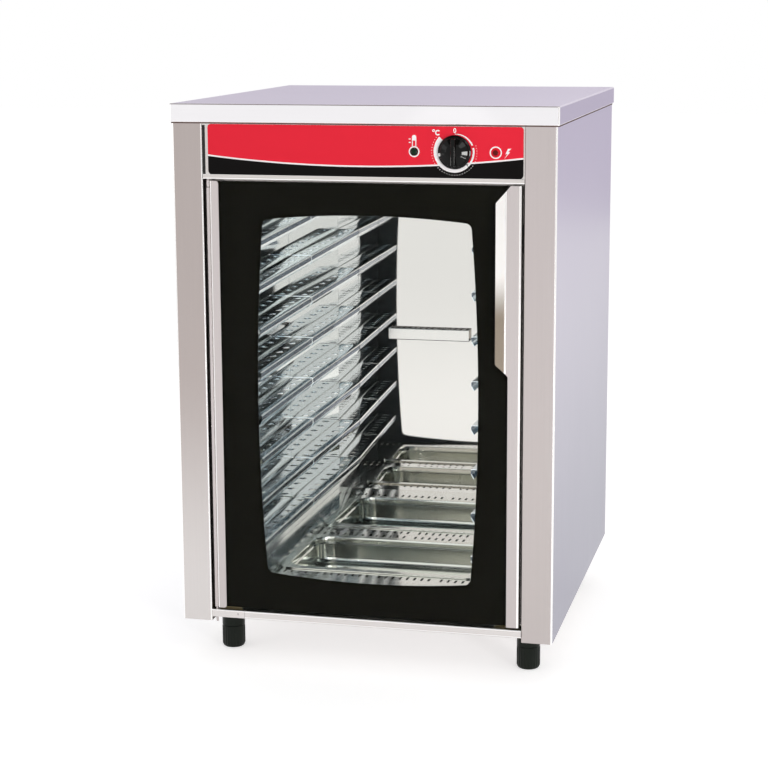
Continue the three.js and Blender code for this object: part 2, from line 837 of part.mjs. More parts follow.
function makeProbeCover() {
  const half = probeCoverWidth / 2;
  const middle = sillHeight + probeCoverRise;
  const [low, high] = [middle - probeCoverHeight / 2, middle + probeCoverHeight / 2];
  const wall = cavityBack;
  const path = [[wall, high], [wall - probeCoverDepth, high], [wall - probeCoverDepth, low], [wall, low]];
  const outline = foldedSheet(path, probeCoverSheet);
  const cover = sidewaysPrism(outline, [probeCoverX - half, probeCoverX + half]);
  const cutters = [];
  const pitch = probeCoverWidth / probeSlotCount;
  for (let i = 0; i < probeSlotCount; i += 1) {
    const x = probeCoverX - half + (i + 0.5) * pitch;
    cutters.push(block(
      [x - probeSlotWidth / 2, x + probeSlotWidth / 2],
      [wall - probeCoverDepth + probeSlotMargin, wall - probeSlotMargin],
      [high - probeCoverSheet - cutOverrun, high + cutOverrun],
    ));
  }
  addPiece('probe_cover', 'liner', cut(cover, cutters));
}

function makeHeater() {
  const [near, far] = [cavityFront + heaterFrontGap, cavityBack - fit];
  const heaterHeight = tankBottom + heaterRise;
  const heaterHalfWidth = cavityHalf - heaterSideGap;
  const inner = heaterHalfWidth - heaterCorner;
  const path = new THREE.CurvePath();
  const turn = (x, to) => new THREE.QuadraticBezierCurve3(
    new THREE.Vector3(...x[0], heaterHeight),
    new THREE.Vector3(...x[1], heaterHeight),
    new THREE.Vector3(...to, heaterHeight),
  );
  const line = (a, b) => new THREE.LineCurve3(
    new THREE.Vector3(...a, heaterHeight),
    new THREE.Vector3(...b, heaterHeight),
  );
  path.add(line([-heaterHalfWidth, far], [-heaterHalfWidth, near + heaterCorner]));
  path.add(turn([[-heaterHalfWidth, near + heaterCorner], [-heaterHalfWidth, near]], [-inner, near]));
  path.add(line([-inner, near], [inner, near]));
  path.add(turn([[inner, near], [heaterHalfWidth, near]], [heaterHalfWidth, near + heaterCorner]));
  path.add(line([heaterHalfWidth, near + heaterCorner], [heaterHalfWidth, far]));
  const section = new THREE.Shape(bend([0, 0], heaterRadius, 0, 360, heaterSides)
    .slice(0, -1).map(([x, y]) => new THREE.Vector2(x, y)));
  const sweep = { steps: heaterSteps, bevelEnabled: false, extrudePath: path };
  addPiece('heating_element', 'rail', new THREE.ExtrudeGeometry(section, sweep));
}

function makeGland() {
  const back = rearY - outerSheet - fit;
  const profile = [
    [glandBore, -glandTail],
    [glandNut - fit, -glandTail],
    [glandNut - fit, fit],
    [glandRadius, fit],
    [glandRadius, glandLength / 2],
    [glandNut, glandLength],
    [glandBore, glandLength],
    [glandBore, -glandTail],
  ].map(([x, y]) => new THREE.Vector2(x, y));
  const gland = new THREE.LatheGeometry(profile, 12).translate(glandX, back, glandZ);
  addPiece('cable_gland', 'black', gland);
}

// Screw feet in sockets under the base

function footSection(radius) {
  return Array.from({ length: footRibs * 2 }, (_, i) => {
    const angle = (i / footRibs) * Math.PI;
    const r = radius * (i % 2 === 0 ? 1 : 1 - footRibDepthShare);
    return new THREE.Vector2(r * Math.cos(angle), r * Math.sin(angle));
  });
}

function makeFoot(place, x, y) {
  const socketLow = footHeight - fit - socketHeight;
  const socket = uprightRod(footRadius, [x, y], [socketLow, footHeight - fit], 24);
  const bore = uprightRod(socketBore, [x, y], [socketLow - cutOverrun, footHeight - fit - panSheet], 16);
  addPiece(`foot_socket_${place}`, 'rubber', cut(socket, [bore]));

  const ribbed = uprightPrism(footSection(footRadius), [footEdge, socketLow - fit]).translate(x, y, 0);
  const neck = footRadius * (1 - footRibDepthShare);
  const heel = new THREE.CylinderGeometry(neck, footRadius - footEdge, footEdge, 24)
    .rotateX(Math.PI / 2).translate(x, y, footEdge / 2);
  const stem = uprightRod(footStem, [x, y], [socketLow - cutOverrun, socketLow + footStemReach], 16);
  addPiece(`foot_${place}`, 'rubber', join([ribbed, heel, stem]));
}

function makeFeet() {
  const x = cabinetWidth / 2 - footInsetX;
  const rear = cabinetDepth - footInsetY;
  makeFoot('front_left', -x, footInsetY);
  makeFoot('front_right', x, footInsetY);
  makeFoot('rear_left', -x, rear);
  makeFoot('rear_right', x, rear);
}

makeWorktop();
makeSidePanel('left_side_panel', -1);
makeSidePanel('right_side_panel', 1);
makeBackPanel();
makeBasePanel();
makeBottomRail();
makeControlPanel();
makeFascia();
makeThermostat();
makeKnob();
makeLamp('pilot_lamp_green', 'greenLens', -1);
makeLamp('pilot_lamp_red', 'redLens', 1);
makeHingeStile();
makeHandleStile();
makeDoorGlass();
makeInnerFrame();
makeGasket();
makeHingeFittings();
makeDoorMagnet();
makeFrontFrame();
makeLiner();
makeInsulation();
makeRails();
makeFloorPlates();
makePan('pan_front', panFrontY);
makePan('pan_rear', panRearY);
makeProbeCover();
makeHeater();
makeGland();
makeFeet();

// The box is centred on x and y; its foremost point is the knob's grip, its rearmost the gland
const foremost = faceY - fit - knobDepth - knobGripRise;
const rearmost = rearY - outerSheet - fit + glandLength;
cabinet.position.y = -(foremost + rearmost) / 2;

export default cabinet;
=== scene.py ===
import math

import bmesh
import bpy
from mathutils import Matrix, Quaternion, Vector


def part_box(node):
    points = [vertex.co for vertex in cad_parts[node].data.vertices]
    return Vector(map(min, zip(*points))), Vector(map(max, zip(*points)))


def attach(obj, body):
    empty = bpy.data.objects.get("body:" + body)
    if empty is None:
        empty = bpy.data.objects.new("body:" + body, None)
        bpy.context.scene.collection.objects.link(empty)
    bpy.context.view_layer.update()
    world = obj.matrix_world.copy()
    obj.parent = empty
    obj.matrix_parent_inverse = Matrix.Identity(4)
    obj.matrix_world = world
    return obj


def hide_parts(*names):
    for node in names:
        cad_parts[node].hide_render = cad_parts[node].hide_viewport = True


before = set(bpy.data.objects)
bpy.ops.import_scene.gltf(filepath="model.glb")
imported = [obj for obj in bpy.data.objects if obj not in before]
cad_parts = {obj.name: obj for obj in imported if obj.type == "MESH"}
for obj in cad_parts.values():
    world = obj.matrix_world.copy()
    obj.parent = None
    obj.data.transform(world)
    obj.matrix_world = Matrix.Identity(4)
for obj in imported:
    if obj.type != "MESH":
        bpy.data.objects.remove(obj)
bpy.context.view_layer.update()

mm = 0.001
tiny = 1e-6
xAxis, yAxis, zAxis = Vector((1, 0, 0)), Vector((0, 1, 0)), Vector((0, 0, 1))
standUp = Matrix.Rotation(math.radians(90), 4, "X")        # a drawing in XY becomes one in XZ, facing -Y
scene = bpy.context.scene


def inMm(**sizes):
    # Written in millimetres, kept in metres
    return {name: tuple(part * mm for part in size) if isinstance(size, tuple) else size * mm
            for name, size in sizes.items()}


# Studio: camera, lamps, cards, world, floor

knobPlace = (0.14, -0.32, 0.82)        # the knob's middle in metres, which its lights aim at
studio = {
    "cameraPlace": (0.7176, -3.13915, 1.0426),
    "yaw": 13.615, "pitch": 10.525, "roll": -0.284,
    "lens": 90.96, "sensor": 36, "shiftY": -0.03,
    "worldAmbient": 0.6,
    "floorSize": 30, "floorColour": (0.8, 0.8, 0.8, 1), "floorRough": 0.9, "floorGlow": 0.54,
    "lamps": {        # place, aim, size, watts
        "keyLamp": ((1.9, -3.2, 2.7), (0, 0, 0.5), (1.5, 1.1), 14),
        "fillLamp": ((-3.0, -2.6, 1.5), (0, 0, 0.45), (1.4, 1.8), 10),
        "rearLamp": ((0.6, 2.8, 3.0), (0, 0, 0.5), (2.0, 1.4), 8),
        "windowLamp": ((2.3, -2.6, 0.6), knobPlace, (0.5, 0.5), 32),
    },
    "dullLamp": "windowLamp",        # lights paint and print, and isn't mirrored in the steel
    "cards": {        # place, aim, size, tone; only reflections see them
        "ceilingCard": ((-0.4, -1.9, 3.0), (0, 0, 0.86), (2.6, 1.0), (0.22, 0.21, 0.2)),
        "windowCard": ((2.3, -2.6, 0.44), knobPlace, (0.6, 0.84), (40, 40, 39)),
        "tableCard": ((1.06, -1.62, 0.06), knobPlace, (0.26, 0.24), (40, 40, 39)),
        "lowCard": ((-2.6, -1.2, 0.2), knobPlace, (0.5, 0.5), (44, 44, 43)),
        "rearCard": ((0.4, 2.6, 1.15), (0.4, 0, 1.15), (5.0, 1.5), (0.70, 0.66, 0.76)),
    },
    "knobCards": ("windowCard", "tableCard", "lowCard"),        # only mirrored near the knob
    "knobReach": 0.07, "knobFade": 0.02,
    "bounces": 18, "glossyBounces": 12, "glassBounces": 12, "clearBounces": 16,
}


def facing(place, target):
    look = (Vector(target) - Vector(place)).to_track_quat("-Z", "Y").to_matrix().to_4x4()
    return Matrix.Translation(place) @ look


def makeObject(name, bm, materials):
    mesh = bpy.data.meshes.new(name)
    bm.to_mesh(mesh)
    bm.free()
    for material in materials:
        mesh.materials.append(material)
    made = bpy.data.objects.new(name, mesh)
    scene.collection.objects.link(made)
    return made


def startMaterial(name):
    material = bpy.data.materials.new(name)
    material.use_nodes = True
    return material, material.node_tree, material.node_tree.nodes["Principled BSDF"]


def setInputs(tree, node, inputs):
    # A socket is linked, and anything else is set as the input's value
    for label, value in inputs.items():
        if isinstance(value, bpy.types.NodeSocket):
            tree.links.new(value, node.inputs[label])
        else:
            node.inputs[label].default_value = value


def addNode(tree, kind, inputs=None, **settings):
    node = tree.nodes.new("ShaderNode" + kind)
    for name, value in settings.items():
        setattr(node, name, value)
    setInputs(tree, node, inputs or {})
    return node


def calc(tree, operation, *values):
    return addNode(tree, "Math", dict(enumerate(values)), operation=operation).outputs[0]


def objectPlace(tree):
    place = addNode(tree, "TexCoord").outputs["Object"]
    return place, addNode(tree, "SeparateXYZ", {0: place}).outputs


def seesBackground(tree):
    path = addNode(tree, "LightPath").outputs
    seen = calc(tree, "MAXIMUM", path["Is Camera Ray"], path["Is Glossy Ray"])
    return calc(tree, "MAXIMUM", seen, path["Is Transmission Ray"])


def makeCamera():
    data = bpy.data.cameras.new("photoCamera")
    data.lens, data.sensor_width, data.shift_y = studio["lens"], studio["sensor"], studio["shiftY"]
    camera = bpy.data.objects.new("photoCamera", data)
    scene.collection.objects.link(camera)
    turn = Matrix.Rotation(math.radians(studio["yaw"]), 4, "Z")
    tilt = Matrix.Rotation(math.radians(90 - studio["pitch"]), 4, "X")
    roll = Matrix.Rotation(math.radians(studio["roll"]), 4, "Z")
    camera.matrix_world = Matrix.Translation(studio["cameraPlace"]) @ turn @ tilt @ roll
    scene.camera = camera


def makeLamps():
    for name, (place, aim, size, watts) in studio["lamps"].items():
        data = bpy.data.lights.new(name, "AREA")
        data.shape, data.energy = "RECTANGLE", watts
        data.size, data.size_y = size
        light = bpy.data.objects.new(name, data)
        light.matrix_world = facing(place, aim)
        light.visible_glossy = name != studio["dullLamp"]
        scene.collection.objects.link(light)


def makeWorld():
    world = bpy.data.worlds.new("studioWorld")
    world.use_nodes = True
    tree = world.node_tree
    strength = addNode(tree, "MapRange", {"Value": seesBackground(tree), "To Min": studio["worldAmbient"]})
    setInputs(tree, tree.nodes["Background"], {"Color": (1, 1, 1, 1), "Strength": strength.outputs["Result"]})
    scene.world = world


def addStage(name, size, matrix, material):
    bm = bmesh.new()
    bmesh.ops.create_grid(bm, x_segments=1, y_segments=1, size=0.5)
    bmesh.ops.scale(bm, verts=bm.verts, vec=(*size, 1))
    bmesh.ops.transform(bm, verts=bm.verts, matrix=matrix)
    made = makeObject(name, bm, [material])
    return made


def makeFloor():
    material, tree, shader = startMaterial("floorPaper")
    glow = calc(tree, "MULTIPLY", seesBackground(tree), studio["floorGlow"])
    setInputs(tree, shader, {
        "Base Color": studio["floorColour"], "Roughness": studio["floorRough"], "Specular IOR Level": 0,
        "Emission Color": (1, 1, 1, 1), "Emission Strength": glow,
    })
    addStage("studioFloor", (studio["floorSize"], studio["floorSize"]), Matrix.Identity(4), material)


def startsAtKnob(tree):
    # A ray's start lies its own length back from the card, and 1 is for starts near the knob
    spot = addNode(tree, "NewGeometry").outputs
    length = addNode(tree, "LightPath").outputs["Ray Length"]
    back = addNode(tree, "VectorMath", {0: spot["Incoming"], "Scale": length}, operation="SCALE")
    start = addNode(tree, "VectorMath", {0: spot["Position"], 1: back.outputs[0]}, operation="ADD")
    away = addNode(tree, "VectorMath", {0: start.outputs[0], 1: knobPlace}, operation="DISTANCE")
    mask = addNode(tree, "MapRange", {
        "Value": away.outputs["Value"],
        "From Min": studio["knobReach"] + studio["knobFade"], "From Max": studio["knobReach"],
    })
    return mask.outputs["Result"]


def makeCards():
    for name, (place, aim, size, tone) in studio["cards"].items():
        material, tree, shader = startMaterial(name)
        tree.nodes.remove(shader)
        glow = addNode(tree, "Emission", {"Color": (*tone, 1)})
        if name in studio["knobCards"]:
            setInputs(tree, glow, {"Strength": startsAtKnob(tree)})
        setInputs(tree, tree.nodes["Material Output"], {"Surface": glow.outputs[0]})
        card = addStage(name, size, facing(place, aim), material)
        card.visible_camera = card.visible_diffuse = card.visible_shadow = False


def setRays():
    scene.view_settings.view_transform = "Standard"
    scene.cycles.max_bounces = studio["bounces"]
    scene.cycles.glossy_bounces = studio["glossyBounces"]
    scene.cycles.transmission_bounces = studio["glassBounces"]
    scene.cycles.transparent_max_bounces = studio["clearBounces"]


# Shader groups that several finishes share

def startGroup(name, inputs):
    group = bpy.data.node_groups.new(name, "ShaderNodeTree")
    kinds = {4: "NodeSocketColor", 3: "NodeSocketVector"}
    for label, value in inputs.items():
        kind = kinds[len(value)] if isinstance(value, tuple) else "NodeSocketFloat"
        group.interface.new_socket(label, in_out="INPUT", socket_type=kind).default_value = value
    outputs = {"Color": "NodeSocketColor", "Roughness": "NodeSocketFloat", "Height": "NodeSocketFloat"}
    for label, kind in outputs.items():
        group.interface.new_socket(label, in_out="OUTPUT", socket_type=kind)
    return group, group.nodes.new("NodeGroupInput").outputs


def endGroup(group, given, tone, shift, amount, glossShift, height):
    factor = calc(group, "ADD", 1.0, calc(group, "MULTIPLY", shift, amount))
    shade = addNode(group, "VectorMath", {0: tone, "Scale": factor}, operation="SCALE")
    gloss = calc(group, "ADD", given["Gloss"], calc(group, "MULTIPLY", glossShift, given["Gloss Spread"]))
    out = group.nodes.new("NodeGroupOutput")
    setInputs(group, out, {"Color": shade.outputs[0], "Roughness": gloss, "Height": height})
    return group


grainLook = {"scale": 1, "detail": 5, "rough": 0.62, "cloudScale": 3.5, "cloudDetail": 2, "cloudShare": 0.35}


def makeGrainGroup():
    # Tone runs from Low Tone at the foot to High Tone at the head, a painted reflection gradient; stretched
    # noise is the brushing
    look = grainLook
    group, given = startGroup("brushedGrain", {
        "Low Tone": (0.6, 0.6, 0.6, 1), "High Tone": (0.6, 0.6, 0.6, 1), "Low Place": 0.0, "High Place": 1.0,
        "Stretch": (300, 300, 4), "Grain": 0.08, "Gloss": 0.3, "Gloss Spread": 0.1,
    })
    place, apart = objectPlace(group)
    ramp = addNode(group, "MapRange", {
        "Value": apart["Z"], "From Min": given["Low Place"], "From Max": given["High Place"],
    }, interpolation_type="SMOOTHSTEP")
    tone = addNode(group, "Mix", {
        "Factor": ramp.outputs["Result"], 6: given["Low Tone"], 7: given["High Tone"],
    }, data_type="RGBA")
    scaled = addNode(group, "VectorMath", {0: place, 1: given["Stretch"]}, operation="MULTIPLY")
    fine = addNode(group, "TexNoise", {
        "Vector": scaled.outputs[0], "Scale": look["scale"],
        "Detail": look["detail"], "Roughness": look["rough"],
    })
    wide = addNode(group, "TexNoise", {
        "Vector": place, "Scale": look["cloudScale"], "Detail": look["cloudDetail"],
    })
    streak = calc(group, "SUBTRACT", fine.outputs["Fac"], 0.5)
    cloud = calc(group, "SUBTRACT", wide.outputs["Fac"], 0.5)
    both = calc(group, "ADD", streak, calc(group, "MULTIPLY", cloud, look["cloudShare"]))
    return endGroup(group, given, tone.outputs[2], both, given["Grain"], both, streak)


speckLook = {"detail": 3, "driftScale": 28}


def makeSpeckGroup():
    # Fine moulded or cast texture, with a slow drift of tone
    group, given = startGroup("mouldedSpeck", {
        "Tone": (0.02, 0.02, 0.02, 1), "Drift": 0.2, "Size": 900.0, "Gloss": 0.4, "Gloss Spread": 0.1,
    })
    place = objectPlace(group)[0]
    fine = addNode(group, "TexNoise", {
        "Vector": place, "Scale": given["Size"], "Detail": speckLook["detail"],
    })
    wide = addNode(group, "TexNoise", {"Vector": place, "Scale": speckLook["driftScale"]})
    drift = calc(group, "SUBTRACT", wide.outputs["Fac"], 0.5)
    speck = calc(group, "SUBTRACT", fine.outputs["Fac"], 0.5)
    return endGroup(group, given, given["Tone"], drift, given["Drift"], speck, speck)


def useGroup(tree, shader, group, values, bump):
    node = addNode(tree, "Group", node_tree=group)
    setInputs(tree, node, values)
    strength, distance = bump
    relief = addNode(tree, "Bump", {
        "Strength": strength, "Distance": distance * mm, "Height": node.outputs["Height"],
    })
    setInputs(tree, shader, {
        "Base Color": node.outputs["Color"], "Roughness": node.outputs["Roughness"],
        "Normal": relief.outputs["Normal"],
    })
    return relief


def linear(r, g, b):
    def one(c):
        c = c / 255
        return c / 12.92 if c <= 0.04045 else ((c + 0.055) / 1.055) ** 2.4
    return (one(r), one(g), one(b), 1)


# Steels: tone at the foot, tone at the head, grain stretch, grain, gloss, gloss spread, bump (strength, mm)

# Where a steel's foot and head tones differ, the change is a painted reflection. Some rows are painted light:
# highlights on bends, shade in gaps, and reflections on the worktop and the rail lips
steelFinishes = {
    "worktopTop": ((203, 196, 208), (203, 196, 208), (5, 420, 420), 0.1, 0.3, 0.12, (0.12, 0.2)),
    "worktopSkirt": ((240, 238, 240), (240, 238, 240), (5, 420, 420), 0.04, 0.3, 0.1, (0.1, 0.2)),
    "sideSteel": ((156, 154, 168), (206, 200, 214), (420, 420, 5), 0.06, 0.34, 0.12, (0.1, 0.2)),
    "paintedShadeSteel": ((74, 66, 60), (66, 58, 52), (200, 200, 5), 0.2, 0.34, 0.1, (0.1, 0.2)),
    "paintedDarkLineSteel": ((128, 118, 116), (128, 118, 116), (5, 200, 200), 0.2, 0.3, 0.1, (0.05, 0.2)),
    "skirtSteel": ((200, 193, 208), (200, 193, 208), (5, 420, 420), 0.05, 0.34, 0.1, (0.1, 0.2)),
    "leftPostSteel": ((212, 207, 205), (180, 170, 167), (420, 420, 5), 0.08, 0.3, 0.12, (0.12, 0.2)),
    "panelSteel": ((192, 184, 182), (196, 187, 186), (420, 420, 5), 0.08, 0.3, 0.12, (0.12, 0.2)),
    "doorSteel": ((196, 188, 187), (202, 194, 193), (420, 420, 6), 0.08, 0.24, 0.1, (0.12, 0.2)),
    "stripSteel": ((218, 213, 211), (212, 206, 203), (5, 420, 420), 0.14, 0.25, 0.1, (0.12, 0.2)),
    "bendHighlightSteel": ((254, 253, 252), (254, 252, 250), (60, 60, 60), 0.03, 0.2, 0.06, (0.05, 0.1)),
    "wallSteel": ((222, 228, 228), (226, 231, 231), (5, 5, 260), 0.04, 0.035, 0.03, (0.004, 0.1)),
    "rearSteel": ((228, 224, 220), (229, 226, 222), (5, 5, 260), 0.03, 0.02, 0.01, (0.002, 0.1)),
    "plateSteel": ((232, 231, 226), (232, 231, 226), (260, 6, 260), 0.05, 0.08, 0.04, (0.006, 0.1)),
    "coverSteel": ((236, 233, 229), (236, 233, 229), (6, 260, 260), 0.04, 0.1, 0.04, (0.004, 0.1)),
    "wingSteel": ((150, 138, 124), (244, 241, 238), (300, 300, 5), 0.1, 0.26, 0.1, (0.1, 0.2)),
    "panSteel": ((226, 227, 220), (226, 227, 220), (8, 160, 160), 0.04, 0.13, 0.04, (0.006, 0.1)),
    "railSteel": ((222, 230, 234), (226, 234, 238), (260, 6, 260), 0.06, 0.07, 0.04, (0.006, 0.1)),
    "lipSteel": ((84, 100, 120), (92, 110, 130), (260, 6, 260), 0.1, 0.16, 0.06, (0.02, 0.1)),
    "foldSteel": ((206, 214, 216), (212, 220, 222), (260, 6, 260), 0.1, 0.2, 0.06, (0.02, 0.1)),
    "sheathSteel": ((120, 116, 110), (126, 120, 112), (60, 60, 60), 0.3, 0.42, 0.2, (0.2, 0.2)),
}
toneSpan = (0.1, 0.85)                     # the heights in metres between which the tone runs, a painted reflection gradient
toneSpans = {"leftPostSteel": (0.12, 0.5), "wingSteel": (0.57, 0.65)}
sheetLeans = {"rearSteel": (-0.065, -0.04), "coverSteel": (-0.08, -0.07)}        # slope across and up


def makeSteel(name, group):
    low, high, stretch, grain, gloss, spread, bump = steelFinishes[name]
    lowPlace, highPlace = toneSpans.get(name, toneSpan)
    material, tree, shader = startMaterial(name)
    shader.inputs["Metallic"].default_value = 1
    relief = useGroup(tree, shader, group, {
        "Low Tone": linear(*low), "High Tone": linear(*high), "Low Place": lowPlace, "High Place": highPlace,
        "Stretch": stretch, "Grain": grain, "Gloss": gloss, "Gloss Spread": spread,
    }, bump)
    if name in sheetLeans:        # a sheet that leans a little in its frame
        apart = objectPlace(tree)[1]
        slopeAcross, slopeUp = sheetLeans[name]
        across = calc(tree, "MULTIPLY", apart["X"], slopeAcross)
        up = calc(tree, "MULTIPLY", apart["Z"], slopeUp)
        lean = addNode(tree, "Bump", {
            "Strength": 1, "Distance": 1,
            "Height": calc(tree, "ADD", across, up), "Normal": relief.outputs["Normal"],
        })
        setInputs(tree, shader, {"Normal": lean.outputs["Normal"]})
    return material


# Moulded and painted: tone, drift of tone, speck size, gloss, gloss spread, bump (strength, mm) and
# specular level

mouldedFinishes = {
    "knobPlastic": ((4, 4, 3), 0.2, 700.0, 0.06, 0.02, (0.003, 0.1), 0.18),
    "casePlastic": ((24, 24, 23), 0.2, 900.0, 0.45, 0.15, (0.2, 0.2), 0.4),
    "footPlastic": ((22, 28, 22), 0.3, 800.0, 0.3, 0.15, (0.2, 0.3), 0.16),
    "blackEnamel": ((9, 8, 4), 0.1, 1200.0, 0.22, 0.05, (0.04, 0.1), 0.03),
    "slatePaint": ((84, 92, 97), 0.1, 1200.0, 0.4, 0.1, (0.08, 0.1), 0.5),
    "skirtShadowBrown": ((104, 86, 80), 0.2, 900.0, 0.8, 0.1, (0.1, 0.2), 0.02),
    "sealRubber": ((32, 32, 31), 0.2, 900.0, 0.6, 0.15, (0.15, 0.2), 0.3),
    "printWhite": ((252, 248, 248), 0.03, 1500.0, 0.4, 0.05, (0.02, 0.1), 0.2),
    "mineralWool": ((196, 178, 128), 0.5, 260.0, 0.95, 0.05, (0.8, 2), 0.2),
    "greenLens": ((4, 34, 16), 0.9, 350.0, 0.12, 0.1, (0.15, 0.3), 0.15),
    "greenRim": ((22, 34, 24), 0.9, 350.0, 0.12, 0.1, (0.15, 0.3), 0.15),
    "redLens": ((96, 6, 8), 0.9, 350.0, 0.12, 0.1, (0.15, 0.3), 0.15),
    "redRim": ((218, 24, 40), 0.9, 350.0, 0.12, 0.1, (0.15, 0.3), 0.15),
    "fasciaRed": ((236, 44, 62), 0.05, 1400.0, 0.38, 0.05, (0.02, 0.1), 0.06),
}


def makeMoulded(name, group):
    tone, drift, size, gloss, spread, bump, specular = mouldedFinishes[name]
    material, tree, shader = startMaterial(name)
    shader.inputs["Specular IOR Level"].default_value = specular
    useGroup(tree, shader, group, {
        "Tone": linear(*tone), "Drift": drift, "Size": size, "Gloss": gloss, "Gloss Spread": spread,
    }, bump)
    return material


glassLook = {"ior": 1.08, "tint": (0.972, 0.982, 0.978, 1), "roughness": 0.0}


def makeGlass():
    look = glassLook
    material, tree, shader = startMaterial("toughGlass")
    setInputs(tree, shader, {
        "Base Color": look["tint"], "Transmission Weight": 1,
        "Roughness": look["roughness"], "IOR": look["ior"],
    })
    clear = addNode(tree, "BsdfTransparent", {"Color": look["tint"]})
    shadow = addNode(tree, "LightPath").outputs["Is Shadow Ray"]
    mix = addNode(tree, "MixShader", {0: shadow, 1: shader.outputs[0], 2: clear.outputs[0]})
    setInputs(tree, tree.nodes["Material Output"], {"Surface": mix.outputs[0]})
    return material


fasciaCurve = {
    "low": 797.5 * mm, "rise": 2.4e-4 / mm, "middle": -2 * mm, "lineWidth": 2.3 * mm, "softEdge": 0.12 * mm,
    "white": (252, 246, 246), "black": (14, 12, 12),
}


def addFasciaCurve(material):
    # Red above a shallow arc, a white line along it and black below
    curve = fasciaCurve
    tree = material.node_tree
    apart = objectPlace(tree)[1]
    across = calc(tree, "SUBTRACT", apart["X"], curve["middle"])
    rise = calc(tree, "MULTIPLY", calc(tree, "MULTIPLY", across, across), curve["rise"])
    above = calc(tree, "SUBTRACT", apart["Z"], calc(tree, "ADD", rise, curve["low"]))
    layers = tree.nodes["Group"].outputs["Color"]
    for tone, limit in (("white", curve["lineWidth"]), ("black", 0)):
        mask = addNode(tree, "MapRange", {
            "Value": above, "From Min": limit - curve["softEdge"], "From Max": limit + curve["softEdge"],
        })
        mix = addNode(tree, "Mix", {
            "Factor": mask.outputs["Result"], 6: linear(*curve[tone]), 7: layers,
        }, data_type="RGBA")
        layers = mix.outputs[2]
    setInputs(tree, tree.nodes["Principled BSDF"], {"Base Color": layers})


makeCamera()
makeLamps()
makeWorld()
makeFloor()
makeCards()
setRays()
grain, speck = makeGrainGroup(), makeSpeckGroup()
steel = {name: makeSteel(name, grain) for name in steelFinishes}
moulded = {name: makeMoulded(name, speck) for name in mouldedFinishes}
toughGlass = makeGlass()
addFasciaCurve(moulded["fasciaRed"])
print("stage: studio and finishes ready")


# Sheet-metal and turning helpers

finishing = {"sharpAngle": 38, "edgeSteps": 2, "edgeAngle": 50, "faceWeight": 60}
squareOn = 0.99        # a normal with this much along an axis faces that way


def addPiece(name, bm, material, replaces=None, body="cabinet", sheet=0.0, edge=0.0,
             angle=finishing["sharpAngle"]):
    piece = makeObject(name, bm, material if isinstance(material, list) else [material])
    piece.data.shade_smooth()
    if not sheet and not edge:
        piece.data.set_sharp_from_angle(angle=math.radians(angle))
    if sheet:
        wall = piece.modifiers.new("wall", "SOLIDIFY")
        wall.thickness, wall.offset, wall.use_even_offset = sheet, -1, True
    if edge:
        soft = piece.modifiers.new("softEdge", "BEVEL")
        soft.width, soft.segments, soft.limit_method = edge, finishing["edgeSteps"], "ANGLE"
        soft.angle_limit = math.radians(finishing["edgeAngle"])
    if sheet or edge:
        weigh = piece.modifiers.new("flatFaces", "WEIGHTED_NORMAL")
        weigh.mode, weigh.weight, weigh.keep_sharp = "FACE_AREA", finishing["faceWeight"], False
    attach(piece, body)
    if replaces:
        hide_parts(replaces)


# The flats' steel and, on the bends, a near-white steel as a painted highlight
def bent(name):
    return [steel[name], steel["bendHighlightSteel"]]


def newOf(made, kind):
    return [g for g in made if isinstance(g, kind)]


def frontEdges(made):
    verts = set(newOf(made, bmesh.types.BMVert))
    return [e for e in newOf(made, bmesh.types.BMEdge) if all(v in verts for v in e.verts)]


def startEdge(bm, low, high):
    return [bm.edges.new((bm.verts.new(low), bm.verts.new(high)))]


def foldSheet(bm, edges, along, heading, moves, steps=5):
    # A number runs the sheet on; a pair (radius, degrees) bends it, anticlockwise seen against "along"
    heading = Vector(heading)
    for move in moves:
        if isinstance(move, (int, float)):
            made = bmesh.ops.extrude_edge_only(bm, edges=edges)["geom"]
            bmesh.ops.translate(bm, verts=newOf(made, bmesh.types.BMVert), vec=heading * move)
            for face in newOf(made, bmesh.types.BMFace):
                face.material_index = 0
            edges = frontEdges(made)
            continue
        radius, degrees = move
        side = along.cross(heading) * math.copysign(radius, degrees)
        before = set(bm.faces)
        made = bmesh.ops.spin(bm, geom=edges, cent=edges[0].verts[0].co + side, axis=along,
                              angle=math.radians(degrees), steps=steps)["geom_last"]
        for face in bm.faces:
            if face not in before:
                face.material_index = 1        # bends get a painted highlight, brighter than the flats
        edges = newOf(made, bmesh.types.BMEdge)
        heading.rotate(Quaternion(along, math.radians(degrees)))


def runOn(bm, edges, step):
    made = bmesh.ops.extrude_edge_only(bm, edges=edges)["geom"]
    bmesh.ops.translate(bm, verts=newOf(made, bmesh.types.BMVert), vec=step)
    return frontEdges(made)


def cleanUp(bm, probe=None):
    bmesh.ops.remove_doubles(bm, verts=list(bm.verts), dist=tiny)
    bmesh.ops.recalc_face_normals(bm, faces=list(bm.faces))
    if probe is not None:        # an open sheet: its largest face looks along the probe
        largest = max(bm.faces, key=lambda f: f.calc_area())
        if largest.normal.dot(probe) < 0:
            bmesh.ops.reverse_faces(bm, faces=list(bm.faces))


def drawLoop(bm, low, high, corner=0.0, steps=5):
    # A rectangle in XY with rounded corners, left as a face until the sheet is filled
    points = [(low[0], low[1]), (high[0], low[1]), (high[0], high[1]), (low[0], high[1])]
    verts = [bm.verts.new((x, y, 0)) for x, y in points]
    face = bm.faces.new(verts)
    if corner:
        roundCorners(bm, verts, corner, steps)
    return face


def roundCorners(bm, verts, radius, steps):
    bmesh.ops.bevel(bm, geom=verts, offset=radius, affect="VERTICES", segments=steps,
                    profile=0.5, material=-1)


def drawRound(bm, centre, radius, sides):
    place = Matrix.Translation((*centre, 0))
    bmesh.ops.create_circle(bm, cap_ends=False, segments=sides, radius=radius, matrix=place)


def fillLoops(bm):
    bmesh.ops.delete(bm, geom=list(bm.faces), context="FACES_ONLY")
    bmesh.ops.triangle_fill(bm, edges=list(bm.edges), use_beauty=True, use_dissolve=False, normal=(0, 0, 1))


